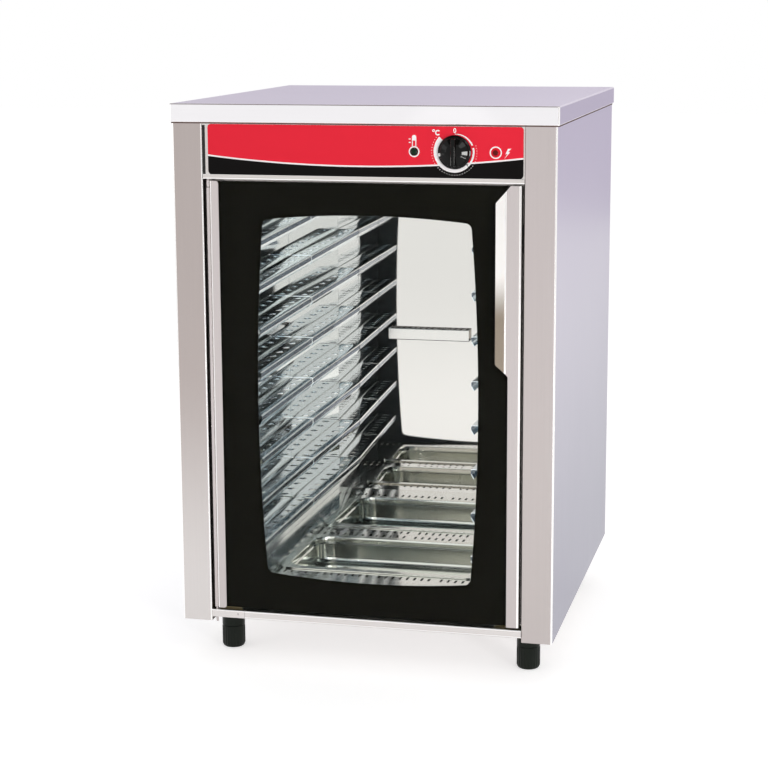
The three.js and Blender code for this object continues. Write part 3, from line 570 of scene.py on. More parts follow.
def thicken(bm, thickness):
    bmesh.ops.solidify(bm, geom=list(bm.faces), thickness=thickness)
    bmesh.ops.recalc_face_normals(bm, faces=list(bm.faces))


def moveAll(bm, matrix):
    bmesh.ops.transform(bm, matrix=matrix, verts=list(bm.verts))


def upright(y):
    return Matrix.Translation((0, y, 0)) @ standUp


def standSheet(bm, low, high):
    # Fills the loops and stands the sheet up between two planes of the box
    fillLoops(bm)
    thicken(bm, high.y - low.y)
    moveAll(bm, upright(low.y))


def mirrorSheet(bm):
    bmesh.ops.scale(bm, verts=list(bm.verts), vec=(-1, 1, 1))
    bmesh.ops.reverse_faces(bm, faces=list(bm.faces))


def edgesWhere(bm, test):
    return [e for e in bm.edges if test(e)]


def edgesOf(verts):
    return list({e for v in verts for e in v.link_edges})


def bevelEdges(bm, edges, width, steps):
    bmesh.ops.bevel(bm, geom=edges, offset=width, affect="EDGES", segments=steps, profile=0.5, material=-1)


def addBlock(bm, low, high, edge=0.0, steps=2):
    made = bmesh.ops.create_cube(bm, size=1)["verts"]
    bmesh.ops.scale(bm, verts=made, vec=Vector(high) - Vector(low))
    bmesh.ops.translate(bm, verts=made, vec=(Vector(high) + Vector(low)) / 2)
    if edge:
        bevelEdges(bm, edgesOf(made), edge, steps)


def addPlainBlock(name, node, material, edge, steps, body="cabinet"):
    bm = bmesh.new()
    addBlock(bm, *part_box(node), edge, steps)
    cleanUp(bm)
    addPiece(name, bm, material, node, body)


def addTurned(bm, profile, centre, axis, steps):
    # Spins a chain of (radius, distance along the axis) points round an axis along Y or Z
    verts = [bm.verts.new(Vector(centre) + xAxis * r + axis * t) for r, t in profile]
    edges = [bm.edges.new(pair) for pair in zip(verts, verts[1:])]
    bmesh.ops.spin(bm, geom=edges, cent=centre, axis=axis, angle=2 * math.pi, steps=steps, use_merge=True)


screwShape = {"flatShare": 0.55, "flatRise": 0.93, "edgeShare": 0.9, "edgeRise": 0.6, "seat": 0.02 * mm,
              "sink": 0.2 * mm, "sides": 20}


def addScrew(bm, place, axis, radius, rise):
    shape = screwShape
    addTurned(bm, [(0, rise), (radius * shape["flatShare"], rise * shape["flatRise"]),
                   (radius * shape["edgeShare"], rise * shape["edgeRise"]), (radius, shape["seat"]),
                   (radius, -shape["sink"]), (0, -shape["sink"])], place, axis, shape["sides"])


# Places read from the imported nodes, in metres

def middleOf(node):
    low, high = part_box(node)
    return (low + high) / 2


worktopLow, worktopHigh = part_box("worktop")
rightLow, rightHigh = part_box("right_side_panel")
front = rightLow.y                                  # the plane of the posts
postInner = rightLow.x
glassLow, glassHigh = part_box("door_glass")
fasciaLow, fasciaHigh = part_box("control_fascia")
controlCentres = [(middleOf(node).x, middleOf(node).z)
                  for node in ("pilot_lamp_green", "thermostat_knob", "pilot_lamp_red")]
cavityLeft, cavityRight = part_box("liner_left")[1].x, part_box("liner_right")[0].x


# Carcase

worktopShape = inMm(corner=3, topBend=2, lowBend=1.4, flange=12, sheet=1,
                    seal=2.6, frontSeal=1.9, sealProud=0.5, sealEdge=0.2) | {
    "skirtFrom": 0.9, "lineForward": 0.2, "lineUp": 0.3,        # parts of the normal that pick the finish
}


def makeWorktop():
    shape = worktopShape
    bm = bmesh.new()
    addBlock(bm, worktopLow, worktopHigh)
    middle = (worktopLow.z + worktopHigh.z) / 2

    def level(e):
        return abs(e.verts[0].co.z - e.verts[1].co.z) < tiny

    bevelEdges(bm, edgesWhere(bm, lambda e: not level(e)), shape["corner"], steps=5)
    rim = edgesWhere(bm, lambda e: level(e) and e.verts[0].co.z > middle)
    bevelEdges(bm, rim, shape["topBend"], steps=4)
    low = edgesWhere(bm, lambda e: all(v.co.z < worktopLow.z + tiny for v in e.verts))
    bevelEdges(bm, low, shape["lowBend"], steps=3)
    under = [f for f in bm.faces if f.normal.z < -squareOn]
    bmesh.ops.inset_region(bm, faces=under, thickness=shape["flange"] - shape["lowBend"],
                           use_even_offset=True)
    bmesh.ops.delete(bm, geom=under, context="FACES")
    # One steel sheet in painted lit and shaded tones by facing: the front skirt lighter than the top and the
    # other skirts, a painted dark reflection along the bend over the front, and painted highlights on the
    # other bends
    for face in bm.faces:        # top, front skirt, other skirts, the bend over the front, other bends
        across, forward, up = face.normal.x, -face.normal.y, face.normal.z
        ways = (up > squareOn, forward > shape["skirtFrom"], abs(across) > squareOn or forward < -squareOn,
                up > shape["lineUp"] and forward > shape["lineForward"], True)
        face.material_index = ways.index(True)
    finishes = ("worktopTop", "worktopSkirt", "skirtSteel", "paintedDarkLineSteel", "bendHighlightSteel")
    addPiece("worktopShell", bm, [steel[name] for name in finishes], "worktop",
             sheet=shape["sheet"])

    # A brown strip just below the skirt's edge, round the front and the sides: painted shadow under the
    # worktop
    bm = bmesh.new()
    proud, edge = shape["sealProud"], shape["sealEdge"]
    side = rightHigh.x + proud
    top = worktopLow.z + shape["seal"] / 2
    step = front + shape["flange"]
    addBlock(bm, (-side, step, worktopLow.z - shape["seal"]), (side, rightHigh.y, top), edge, steps=1)
    addBlock(bm, (-side, front - proud, worktopLow.z - shape["frontSeal"]), (side, step, top), edge, steps=1)
    addPiece("skirtShadowStrip", bm, moulded["skirtShadowBrown"])


panelShape = inMm(flange=20, rearFlange=25, innerBend=2, outerBend=2.6, sheet=1, softEdge=0.25)


def makeSidePanel(name, node, side):
    shape = panelShape
    low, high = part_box(node)
    outer, inner = max(abs(low.x), abs(high.x)), min(abs(low.x), abs(high.x))
    outerBend, innerBend, flange = shape["outerBend"], shape["innerBend"], shape["flange"]
    bm = bmesh.new()
    start = startEdge(bm, (inner, low.y + flange, low.z), (inner, low.y + flange, high.z))
    foldSheet(bm, start, zAxis, -yAxis, [
        flange - innerBend, (innerBend, 90), outer - inner - innerBend - outerBend, (outerBend, 90),
        high.y - low.y - outerBend - innerBend, (innerBend, 90), shape["rearFlange"] - innerBend,
    ])
    cleanUp(bm, xAxis)
    # Each facing gets its own tone: the side, the post, and the faces toward the door gap in a dark steel
    # that is painted shade. The right post's inner bend keeps the flat finish instead of the painted
    # highlight
    for face in bm.faces:
        if abs(face.normal.x) > squareOn:
            face.material_index = 2 if face.normal.x > 0 else 3
        elif side > 0 and face.material_index == 1 and face.calc_center_median().x < inner + innerBend:
            face.material_index = 0
    if side < 0:
        mirrorSheet(bm)
    # The left post gets its own steel, a painted reflection that is lighter at the foot and darker at the
    # head
    post = "panelSteel" if side > 0 else "leftPostSteel"
    addPiece(name, bm, bent(post) + [steel["sideSteel"], steel["paintedShadeSteel"]], node,
             sheet=shape["sheet"], edge=shape["softEdge"])


rearShape = inMm(corner=1, ventSize=(5, 40), ventEase=0.01, ventPitch=26, ventDrop=30, glandHole=8,
                 screwMargin=9, screwRadius=3.6, screwRise=1.1) | {
    "vents": 9, "screwShare": 0.34,        # the middle screws stand this share of the height from each end
}


def makeBackPanel():
    shape = rearShape
    low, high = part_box("back_panel")
    bm = bmesh.new()
    drawLoop(bm, (-high.x, low.z), (high.x, high.z), shape["corner"])
    width, height = shape["ventSize"]
    top = high.z - shape["ventDrop"]
    corner = width / 2 - shape["ventEase"]
    for i in range(shape["vents"]):
        x = (i - (shape["vents"] - 1) / 2) * shape["ventPitch"]
        drawLoop(bm, (x - width / 2, top - height), (x + width / 2, top), corner, steps=8)
    gland = middleOf("cable_gland")
    drawRound(bm, (gland.x, gland.z), shape["glandHole"], sides=28)
    standSheet(bm, low, high)
    addPiece("rearSheet", bm, steel["panelSteel"], "back_panel", angle=30)

    bm = bmesh.new()
    margin = shape["screwMargin"]
    rise = (high.z - low.z) * shape["screwShare"]
    heights = [low.z + margin, low.z + rise, high.z - rise, high.z - margin]
    reach = high.x - panelShape["rearFlange"] - margin
    for x in (-reach, 0, reach):
        for z in (heights[0], heights[-1]) if x == 0 else heights:
            addScrew(bm, (x, high.y, z), yAxis, shape["screwRadius"], shape["screwRise"])
    cleanUp(bm)
    addPiece("rearScrews", bm, steel["doorSteel"])


bottomRailShape = inMm(bend=1.8, sheet=1, softEdge=0.2)


def makeBottomRail():
    shape = bottomRailShape
    low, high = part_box("front_bottom_rail")
    r = shape["bend"]
    bm = bmesh.new()
    start = startEdge(bm, (low.x, high.y, low.z), (high.x, high.y, low.z))
    depth, height = high.y - low.y, high.z - low.z
    foldSheet(bm, start, xAxis, -yAxis, [depth - r, (r, -90), height - 2 * r, (r, -90), depth - r])
    cleanUp(bm, zAxis)
    addPiece("bottomRail", bm, bent("stripSteel"), "front_bottom_rail",
             sheet=shape["sheet"], edge=shape["softEdge"])


controlShape = inMm(lowFlange=55, topFlange=25, bend=2, joggleBend=0.8, gap=0.3,
                    lampHole=5.2, shaftHole=4.2, sheet=1)


def drawControlHoles(bm):
    for centre, hole in zip(controlCentres, ("lampHole", "shaftHole", "lampHole")):
        drawRound(bm, centre, controlShape[hole], sides=24)


def makeControlPanel():
    shape = controlShape
    low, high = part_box("control_panel")
    bend, joggleBend = shape["bend"], shape["joggleBend"]
    faceBack = fasciaHigh.y + shape["gap"]
    step = faceBack - low.y
    joggle = fasciaLow.z - shape["gap"]
    bm = bmesh.new()
    drawLoop(bm, (low.x, joggle + joggleBend), (high.x, high.z - bend))
    drawControlHoles(bm)
    fillLoops(bm)
    moveAll(bm, upright(faceBack))
    lowest = min(v.co.z for v in bm.verts)
    highest = max(v.co.z for v in bm.verts)
    down = edgesWhere(bm, lambda e: all(v.co.z < lowest + tiny for v in e.verts))
    up = edgesWhere(bm, lambda e: all(v.co.z > highest - tiny for v in e.verts))
    foldSheet(bm, up, xAxis, zAxis, [(bend, -90), shape["topFlange"] - bend])
    foldSheet(bm, down, xAxis, -zAxis, [
        (joggleBend, -90), step - 2 * joggleBend, (joggleBend, 90), joggle - low.z - joggleBend - bend,
        (bend, 90), shape["lowFlange"] - bend,
    ])
    cleanUp(bm, -yAxis)
    addPiece("controlHousing", bm, bent("stripSteel"), "control_panel", sheet=shape["sheet"])


fasciaShape = inMm(leftInset=8, rightInset=1, topRise=1.8, corner=5, stripLeft=0.3, stripRight=4.4,
                   stripSink=0.4, stripDepth=0.2, stripDrop=1, stripEdge=0.1)


def makeFascia():
    shape = fasciaShape
    bm = bmesh.new()
    drawLoop(bm, (fasciaLow.x + shape["leftInset"], fasciaLow.z),
             (fasciaHigh.x - shape["rightInset"], fasciaHigh.z + shape["topRise"]), shape["corner"], steps=8)
    drawControlHoles(bm)
    standSheet(bm, fasciaLow, fasciaHigh)
    addPiece("controlFascia", bm, moulded["fasciaRed"], "control_fascia")
    # A dark strip in the gap beside the left post: painted shade
    bm = bmesh.new()
    rear = fasciaHigh.y
    low = (-postInner + shape["stripLeft"], rear - shape["stripSink"], fasciaLow.z - shape["stripDrop"])
    high = (-postInner + shape["stripRight"], rear + shape["stripDepth"], fasciaHigh.z)
    addBlock(bm, low, high, shape["stripEdge"], steps=1)
    addPiece("fasciaGapShadeStrip", bm, moulded["sealRubber"])


# Prints round the dial: x and z offsets in mm from the dial's centre, angles anticlockwise from +X

printShape = {
    "rise": 0.1, "steps": 4, "sides": 8, "ringSteps": 24, "letterSteps": 12, "capSteps": 10,
    "ribbons": [        # angle, inner radius, outer radius
        [(89, 26.2, 27.0), (55, 26.4, 28.4), (21, 27.2, 29.6)],
        [(13, 27.0, 29.8), (-16, 27.0, 29.8), (-45, 27.0, 29.8)],
        [(-47, 25.4, 29.8), (-90, 25.4, 30.4), (-135, 25.4, 31.2), (-180, 25.4, 32.0), (-224, 25.4, 32.6)],
    ],
    "dots": {"first": 17, "last": -220, "step": -6.7, "reach": (33.2, 35.2), "radius": 0.55},
    "rings": [(0, 31.8, 2.2, 3.8, 1.3), (-32.0, 31.4, 2.0, 2.0, 1.3)],        # place, half sizes, stroke
    "hoops": [(-61.5, 0, 6.4, 8.2), (61.5, 0, 7.4, 9.2)],                       # place, inner, outer
    "letter": {"centre": (-25.6, 28.4), "inner": 2.2, "outer": 4.2, "from": 42, "to": 318},
    "cap": {"centre": (-61.5, 21.4), "radius": 3.3},
    "blocks": [(-64.8, 16.4, -58.2, 21.4), (-64.8, 7.4, -63.5, 16.4), (-59.5, 7.4, -58.2, 16.4),
               (-69.6, 18.0, -66.6, 19.4), (-69.6, 13.0, -66.6, 14.4)],
    "bolt": [(84.7, 6.4), (79.6, 5.8), (75.8, -2.0), (79.0, -1.6), (74.2, -9.0), (82.8, 0.8), (79.8, 1.0)],
}


def onArc(angle, inner, outer, centre=(0, 0)):
    across, up = math.cos(math.radians(angle)), math.sin(math.radians(angle))
    return [(centre[0] + r * across, centre[1] + r * up) for r in (inner, outer)]


def addStrip(bm, points):
    rings = [[bm.verts.new((x * mm, z * mm, 0)) for x, z in pair] for pair in points]
    for near, far in zip(rings, rings[1:]):
        bm.faces.new((near[0], near[1], far[1], far[0]))


def addDots(bm, dots, sides):
    count = int((dots["last"] - dots["first"]) / dots["step"]) + 1
    for i in range(count):
        angle = dots["first"] + i * dots["step"]
        reach = dots["reach"][0] + (dots["reach"][1] - dots["reach"][0]) * i / (count - 1)
        across, up = onArc(angle, reach, reach)[0]
        bmesh.ops.create_circle(bm, cap_ends=True, segments=sides, radius=dots["radius"] * mm,
                                matrix=Matrix.Translation((across * mm, up * mm, 0)))


def makeDialPrint():
    shape = printShape
    bm = bmesh.new()
    for ribbon in shape["ribbons"]:
        points = []
        for start, end in zip(ribbon, ribbon[1:]):
            for i in range(shape["steps"] + 1):
                share = i / shape["steps"]
                points.append(onArc(*(a + (b - a) * share for a, b in zip(start, end))))
        addStrip(bm, points)
    addDots(bm, shape["dots"], shape["sides"])
    turns = [360 * i / shape["ringSteps"] for i in range(shape["ringSteps"] + 1)]
    for x, z, wide, high, stroke in shape["rings"]:
        sizes = ((wide - stroke, high - stroke), (wide, high))
        addStrip(bm, [[(x + a * onArc(turn, 1, 1)[0][0], z + b * onArc(turn, 1, 1)[0][1]) for a, b in sizes]
                      for turn in turns])
    for x, z, inner, outer in shape["hoops"]:
        addStrip(bm, [onArc(turn, inner, outer, (x, z)) for turn in turns])
    letter, steps = shape["letter"], shape["letterSteps"]
    span = letter["to"] - letter["from"]
    addStrip(bm, [onArc(letter["from"] + span * i / steps, letter["inner"], letter["outer"], letter["centre"])
                  for i in range(steps + 1)])
    for left, low, right, high in shape["blocks"]:
        addStrip(bm, [[(left, low), (left, high)], [(right, low), (right, high)]])
    cap, steps = shape["cap"], shape["capSteps"]
    dome = [onArc(180 * i / steps, cap["radius"], cap["radius"], cap["centre"])[0] for i in range(steps + 1)]
    for outline in (shape["bolt"], dome):
        bm.faces.new([bm.verts.new((x * mm, z * mm, 0)) for x, z in outline])
    bmesh.ops.recalc_face_normals(bm, faces=list(bm.faces))
    for face in bm.faces:
        if face.normal.z < 0:
            face.normal_flip()
    rise = shape["rise"] * mm
    thicken(bm, rise)
    x, z = controlCentres[1]
    moveAll(bm, Matrix.Translation((x, 0, z)) @ upright(fasciaLow.y - rise))
    addPiece("dialPrint", bm, moulded["printWhite"])


# Door

doorShape = inMm(stripFace=14, handleFace=20, depth=12, bend=2, outerBend=4, sheet=1.2, rearFlange=10,
                 stripCorner=4.5, tubeRadius=3.9, tubeBore=2.5, tubeDrop=12.6, tubeEdge=0.5, softEdge=0.3)
gripShape = inMm(bendRadius=3.5, drop=287, topChamfer=25, topRun=20, lowChamfer=20, lead=3.2,
                 foldDepth=0.5) | {"angle": 40}


def makeHingeStile():
    shape = doorShape
    low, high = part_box("hinge_stile")
    stripRight = glassLow.x - shape["sheet"] - controlShape["gap"] + shape["stripFace"]
    r = shape["bend"]
    bm = bmesh.new()
    start = startEdge(bm, (stripRight, front, low.z), (stripRight, front, high.z))
    foldSheet(bm, start, zAxis, -xAxis, [
        shape["stripFace"] - r, (r, -90), shape["depth"] - 2 * r, (r, -90), shape["rearFlange"] - r,
    ])
    corners = [v for v in bm.verts if v.co.x > stripRight - tiny and v.co.y < front + tiny]
    roundCorners(bm, corners, shape["stripCorner"], steps=5)
    cleanUp(bm, -yAxis)
    addPiece("hingeStile", bm, bent("doorSteel"), "hinge_stile", "door",
             sheet=shape["sheet"], edge=shape["softEdge"])

    hinge = middleOf("upper_hinge_pin")
    bm = bmesh.new()
    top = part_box("upper_hinge_pin")[1].z - shape["tubeDrop"]
    outer, bore, e = shape["tubeRadius"], shape["tubeBore"], shape["tubeEdge"]
    addTurned(bm, [(bore, low.z), (outer - e, low.z), (outer, low.z + e), (outer, top - e), (outer - e, top),
                   (bore, top), (bore, low.z)], (hinge.x, hinge.y, 0), zAxis, steps=28)
    cleanUp(bm)
    addPiece("hingeTube", bm, steel["doorSteel"], body="door")


def chamferWing(bm, faces, tip, normal):
    edges = {e for f in faces for e in f.edges}
    verts = {v for f in faces for v in f.verts}
    bmesh.ops.bisect_plane(bm, geom=faces + list(edges) + list(verts), dist=tiny,
                           plane_co=tip, plane_no=normal, clear_outer=True)


def makeHandleStile():
    shape, grip = doorShape, gripShape
    low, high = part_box("handle_stile")
    faceLeft = high.x - shape["handleFace"]
    r, outerBend = shape["bend"], shape["outerBend"]
    gripLow = high.z - grip["drop"]
    bm = bmesh.new()
    lower = startEdge(bm, (faceLeft, front, low.z), (faceLeft, front, gripLow))
    upper = bm.edges.new((lower[0].verts[1], bm.verts.new((faceLeft, front, high.z))))
    foldSheet(bm, [lower[0], upper], zAxis, xAxis, [
        shape["handleFace"] - outerBend, (outerBend, 90), shape["depth"] - outerBend - r, (r, 90),
        shape["rearFlange"] - r,
    ])
    kept = set(bm.faces)
    foldSheet(bm, [upper], zAxis, -xAxis, [grip["lead"], (grip["bendRadius"], grip["angle"])])
    folded = set(bm.faces)
    foldEnd = front - grip["foldDepth"]
    upper = edgesWhere(bm, lambda e: e.is_boundary and all(v.co.y < foldEnd for v in e.verts)
                       and abs(e.verts[0].co.x - e.verts[1].co.x) < tiny)
    turn = math.radians(grip["angle"])
    across, out = math.cos(turn), math.sin(turn)
    wing = (faceLeft - low.x - grip["lead"] - grip["bendRadius"] * out) / across
    foldSheet(bm, upper, zAxis, Vector((-across, -out, 0)), [wing])
    # The wing gets a steel that runs from a painted dark reflection at its foot to a painted bright
    # reflection at its head
    for face in bm.faces:
        if face not in folded:
            face.material_index = 2
    chamfer = grip["topChamfer"]
    tip = Vector((low.x, 0, high.z - chamfer))
    chamferWing(bm, list(bm.faces), tip, Vector((-chamfer, 0, grip["topRun"])).normalized())
    chamfer = grip["lowChamfer"]
    tip = Vector((low.x, 0, gripLow + chamfer))
    wingFaces = [f for f in bm.faces if f not in kept]
    chamferWing(bm, wingFaces, tip, Vector((-chamfer, 0, low.x - faceLeft)).normalized())
    cleanUp(bm, -yAxis)
    finishes = bent("doorSteel") + [steel["wingSteel"]]
    addPiece("handleStile", bm, finishes, "handle_stile", "door",
             sheet=shape["sheet"], edge=shape["softEdge"])


windowShape = inMm(centreX=6, halfWidth=162, low=157, high=714.7, sideBulge=11.5, endBulge=9,
                   corner=8) | {"cuts": 23, "endShare": 1e-4}


def drawWindow(bm, margin=0.0):
    # A barrel: each side of the rectangle swells in a shallow arc
    shape = windowShape
    low = (shape["centreX"] - shape["halfWidth"] - margin, shape["low"] - margin)
    high = (shape["centreX"] + shape["halfWidth"] + margin, shape["high"] + margin)
    face = drawLoop(bm, low, high)
    made = bmesh.ops.subdivide_edges(bm, edges=list(face.edges), cuts=shape["cuts"])["geom_inner"]
    for v in newOf(made, bmesh.types.BMVert):
        acrossShare = (v.co.x - low[0]) / (high[0] - low[0])
        upShare = (v.co.y - low[1]) / (high[1] - low[1])
        if shape["endShare"] < acrossShare < 1 - shape["endShare"]:
            v.co.y += math.copysign(shape["endBulge"] * (1 - (2 * acrossShare - 1) ** 2), upShare - 0.5)
        else:
            v.co.x += math.copysign(shape["sideBulge"] * (1 - (2 * upShare - 1) ** 2), acrossShare - 0.5)
    corners = [v for v in bm.verts if any(abs(v.co.x - x) + abs(v.co.y - y) < tiny
                                          for x in (low[0], high[0]) for y in (low[1], high[1]))]
    roundCorners(bm, corners, shape["corner"], steps=6)


paneShape = inMm(edge=0.6, printMargin=0.8, printCorner=1, printSheet=0.12, printGap=0.04, frameCorner=3,
                 frameMargin=0.6)


def makeDoorGlass():
    shape = paneShape
    addPlainBlock("doorPane", "door_glass", toughGlass, shape["edge"], steps=2, body="door")
    bm = bmesh.new()
    margin = shape["printMargin"]
    drawLoop(bm, (glassLow.x + margin, glassLow.z + margin), (glassHigh.x - margin, glassHigh.z - margin),
             shape["printCorner"])
    drawWindow(bm)
    fillLoops(bm)
    thicken(bm, shape["printSheet"])
    moveAll(bm, upright(glassHigh.y + shape["printGap"]))
    addPiece("enamelBorder", bm, moulded["blackEnamel"], body="door")


def makeInnerFrame():
    low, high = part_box("door_inner_frame")
    bm = bmesh.new()
    drawLoop(bm, (low.x, low.z), (high.x, high.z), paneShape["frameCorner"])
    drawWindow(bm, paneShape["frameMargin"])
    standSheet(bm, low, high)
    addPiece("innerFrame", bm, moulded["slatePaint"], "door_inner_frame", "door")


sealShape = inMm(wall=9, outerCorner=6, innerCorner=3, softEdge=3.2) | {"rimTurn": 0.7}


def makeGasket():
    shape = sealShape
    low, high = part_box("door_gasket")
    wall = shape["wall"]
    bm = bmesh.new()
    drawLoop(bm, (low.x, low.z), (high.x, high.z), shape["outerCorner"])
    drawLoop(bm, (low.x + wall, low.z + wall), (high.x - wall, high.z - wall), shape["innerCorner"])
    outline = list(bm.edges)
    bmesh.ops.delete(bm, geom=list(bm.faces), context="FACES_ONLY")
    bmesh.ops.bridge_loops(bm, edges=outline)
    bmesh.ops.recalc_face_normals(bm, faces=list(bm.faces))
    if bm.faces[:][0].normal.z < 0:
        bmesh.ops.reverse_faces(bm, faces=list(bm.faces))
    thicken(bm, high.y - low.y)
    moveAll(bm, upright(low.y))
    rear = edgesWhere(bm, lambda e: all(v.co.y > high.y - tiny for v in e.verts)
                      and e.calc_face_angle(0) > shape["rimTurn"])
    bevelEdges(bm, rear, shape["softEdge"], steps=5)
    addPiece("doorSeal", bm, moulded["sealRubber"], "door_gasket", "door")


hingeShape = inMm(bush=3.4, bushLength=12, pin=2, edge=0.6, bracket=54, bend=1.6, sheet=1, softEdge=0.2,
                  screwInset=43, screwRadius=1.6, screwRise=0.5, screwGap=0.02) | {
    "groove": (4, 3.4, 2.8),        # in edge widths below the bush's top
}
magnetShape = inMm(edge=0.5)


def makeHingeFittings():
    shape = hingeShape
    low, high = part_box("upper_hinge_pin")
    axis = middleOf("upper_hinge_pin")
    centre = (axis.x, axis.y, 0)
    bush, pin, e = shape["bush"], shape["pin"], shape["edge"]
    bushLow = high.z - shape["bushLength"]
    bm = bmesh.new()
    grooveLow, grooveMiddle, grooveTop = (high.z - share * e for share in shape["groove"])
    addTurned(bm, [(0, low.z), (pin - e, low.z), (pin, low.z + e), (pin, bushLow), (bush - e, bushLow),
                   (bush, bushLow + e), (bush, grooveLow), (bush - e / 2, grooveMiddle), (bush, grooveTop),
                   (bush, high.z - e), (bush - e, high.z), (0, high.z)], centre, zAxis, steps=28)
    cleanUp(bm)
    addPiece("upperHingePin", bm, steel["doorSteel"], "upper_hinge_pin")

    low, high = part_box("lower_hinge_bracket")
    railLow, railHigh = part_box("front_bottom_rail")
    r = shape["bend"]
    bm = bmesh.new()
    start = startEdge(bm, (low.x, low.y, railLow.z), (low.x + shape["bracket"], low.y, railLow.z))
    foldSheet(bm, start, xAxis, zAxis, [railHigh.z - railLow.z - r, (r, -90), railHigh.y - railLow.y - r])
    cleanUp(bm, -yAxis)
    addPiece("lowerHingeBracket", bm, bent("stripSteel"), "lower_hinge_bracket",
             sheet=shape["sheet"], edge=shape["softEdge"])
    bm = bmesh.new()
    addTurned(bm, [(0, low.z), (pin - e, low.z), (pin, low.z + e), (pin, high.z - e), (pin - e, high.z),
                   (0, high.z)], centre, zAxis, steps=24)
    screw = (low.x + shape["screwInset"], low.y - shape["screwGap"], (railLow.z + railHigh.z) / 2)
    addScrew(bm, screw, -yAxis, shape["screwRadius"], shape["screwRise"])
    cleanUp(bm)
    addPiece("lowerHingePin", bm, steel["doorSteel"])


# Cavity

frameShape = inMm(corner=1, sillRise=48.5, headDrop=27.2, openingCorner=4, stripInset=0.6, stripGap=0.2,
                  stripTopGap=0.4, stripFront=2, stripRear=0.2, stripRise=1, stripEdge=0.2)


def makeFrontFrame():
    shape = frameShape
    low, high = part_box("front_frame")
    bm = bmesh.new()
    drawLoop(bm, (low.x, low.z), (high.x, high.z), shape["corner"])
    drawLoop(bm, (cavityLeft, low.z + shape["sillRise"]), (cavityRight, glassHigh.z - shape["headDrop"]),
             shape["openingCorner"])
    standSheet(bm, low, high)
    addPiece("frontFrame", bm, steel["stripSteel"], "front_frame")
    # Dark strips in the gaps between the door and the posts: painted shade, in the gasket's black rubber
    bm = bmesh.new()
    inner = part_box("handle_stile")[1].x + shape["stripInset"]
    outer = postInner - panelShape["sheet"] - shape["stripGap"]
    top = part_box("control_panel")[0].z - shape["stripTopGap"]
    for side in (-1, 1):
        ends = sorted((side * inner, side * outer))
        addBlock(bm, (ends[0], low.y - shape["stripFront"], low.z + shape["stripRise"]),
                 (ends[1], low.y - shape["stripRear"], top), shape["stripEdge"], steps=1)
    addPiece("doorGapShadeStrips", bm, moulded["sealRubber"])


linerShape = inMm(edge=0.2, seamWidth=14, seamRise=0.25, seamEdge=0.1)


def makeLiner():
    shape = linerShape
    seam = (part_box("floor_plate_front")[1].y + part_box("floor_plate_rear")[0].y) / 2
    half = shape["seamWidth"] / 2
    for name, node, side in (("linerLeftWall", "liner_left", 1), ("linerRightWall", "liner_right", -1)):
        low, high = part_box(node)
        bm = bmesh.new()
        addBlock(bm, low, high, shape["edge"], steps=1)
        inner = high.x if side > 0 else low.x
        faces = sorted((inner, inner + side * shape["seamRise"]))
        addBlock(bm, (faces[0], seam - half, low.z), (faces[1], seam + half, high.z),
                 shape["seamEdge"], steps=1)
        cleanUp(bm)
        addPiece(name, bm, steel["wallSteel"], node)
    plain = {"linerRearWall": ("liner_back", "rearSteel"), "linerRoof": ("liner_top", "wallSteel"),
             "linerTray": ("liner_base", "wallSteel")}
    for name, (node, finish) in plain.items():
        addPlainBlock(name, node, steel[finish], shape["edge"], steps=1)


railShape = inMm(sheet=1, bend=1.6, flange=14, lip=9, fold=7, foldIn=4, holeRadius=6.5, notch=8) | {
    "levels": 8, "holes": 16, "bendSteps": 4,
}


def makeRailPart(lip, wall, top, start, end, holes):
    shape = railShape
    r = shape["bend"]
    bm = bmesh.new()
    drawLoop(bm, (lip + r, start), (wall - r, end))
    for y in holes:
        if start < y < end:
            drawRound(bm, ((lip + wall) / 2, y), shape["holeRadius"], sides=14)
    fillLoops(bm)
    moveAll(bm, Matrix.Translation((0, 0, top)))
    inner = edgesWhere(bm, lambda e: all(v.co.x < lip + r + tiny for v in e.verts))
    outer = edgesWhere(bm, lambda e: all(v.co.x > wall - r - tiny for v in e.verts))
    foldSheet(bm, outer, yAxis, xAxis, [(r, 90), shape["flange"] - r], shape["bendSteps"])
    turn = math.degrees(math.atan2(shape["foldIn"], shape["fold"]))
    foldSheet(bm, inner, yAxis, -xAxis, [
        (r, -90), shape["lip"] - r - r / 2, (r, -turn), math.hypot(shape["foldIn"], shape["fold"]) - r / 2,
    ], shape["bendSteps"])
    cleanUp(bm, zAxis)
    # The lip's upright face gets a painted bluish reflection, its slanting fold a painted pale reflection,
    # and the bends the painted highlight
    for face in bm.faces:
        if face.material_index == 0 and face.calc_center_median().x < lip + r / 2:
            face.material_index = 2 if abs(face.normal.x) > squareOn else 3
    thicken(bm, shape["sheet"])
    return bm


def makeRail(name, node, side):
    low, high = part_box(node)
    wall, lip = max(abs(low.x), abs(high.x)), min(abs(low.x), abs(high.x))
    middle, half, count = (low.y + high.y) / 2, railShape["notch"] / 2, railShape["holes"]
    holes = [low.y + (i + 0.5) * (high.y - low.y) / count for i in range(count)]
    bm = bmesh.new()
    for start, end in ((low.y, middle - half), (middle + half, high.y)):
        part = makeRailPart(lip, wall, high.z, start, end, holes)
        mesh = bpy.data.meshes.new("railPart")
        part.to_mesh(mesh)
        part.free()
        bm.from_mesh(mesh)
        bpy.data.meshes.remove(mesh)
    if side < 0:
        mirrorSheet(bm)
    finishes = bent("railSteel") + [steel["lipSteel"], steel["foldSteel"]]
    addPiece(name, bm, finishes, node, angle=32)


plateShape = inMm(slot=(3.8, 16), pitch=11.5, groupGap=8, margin=7, dot=1.1, dotPitch=9.5, dotRowPitch=9,
                  dotMargin=9, panRim=12, panCorner=30) | {"slotGroup": 8, "slotRound": 0.49, "dotRows": 2}


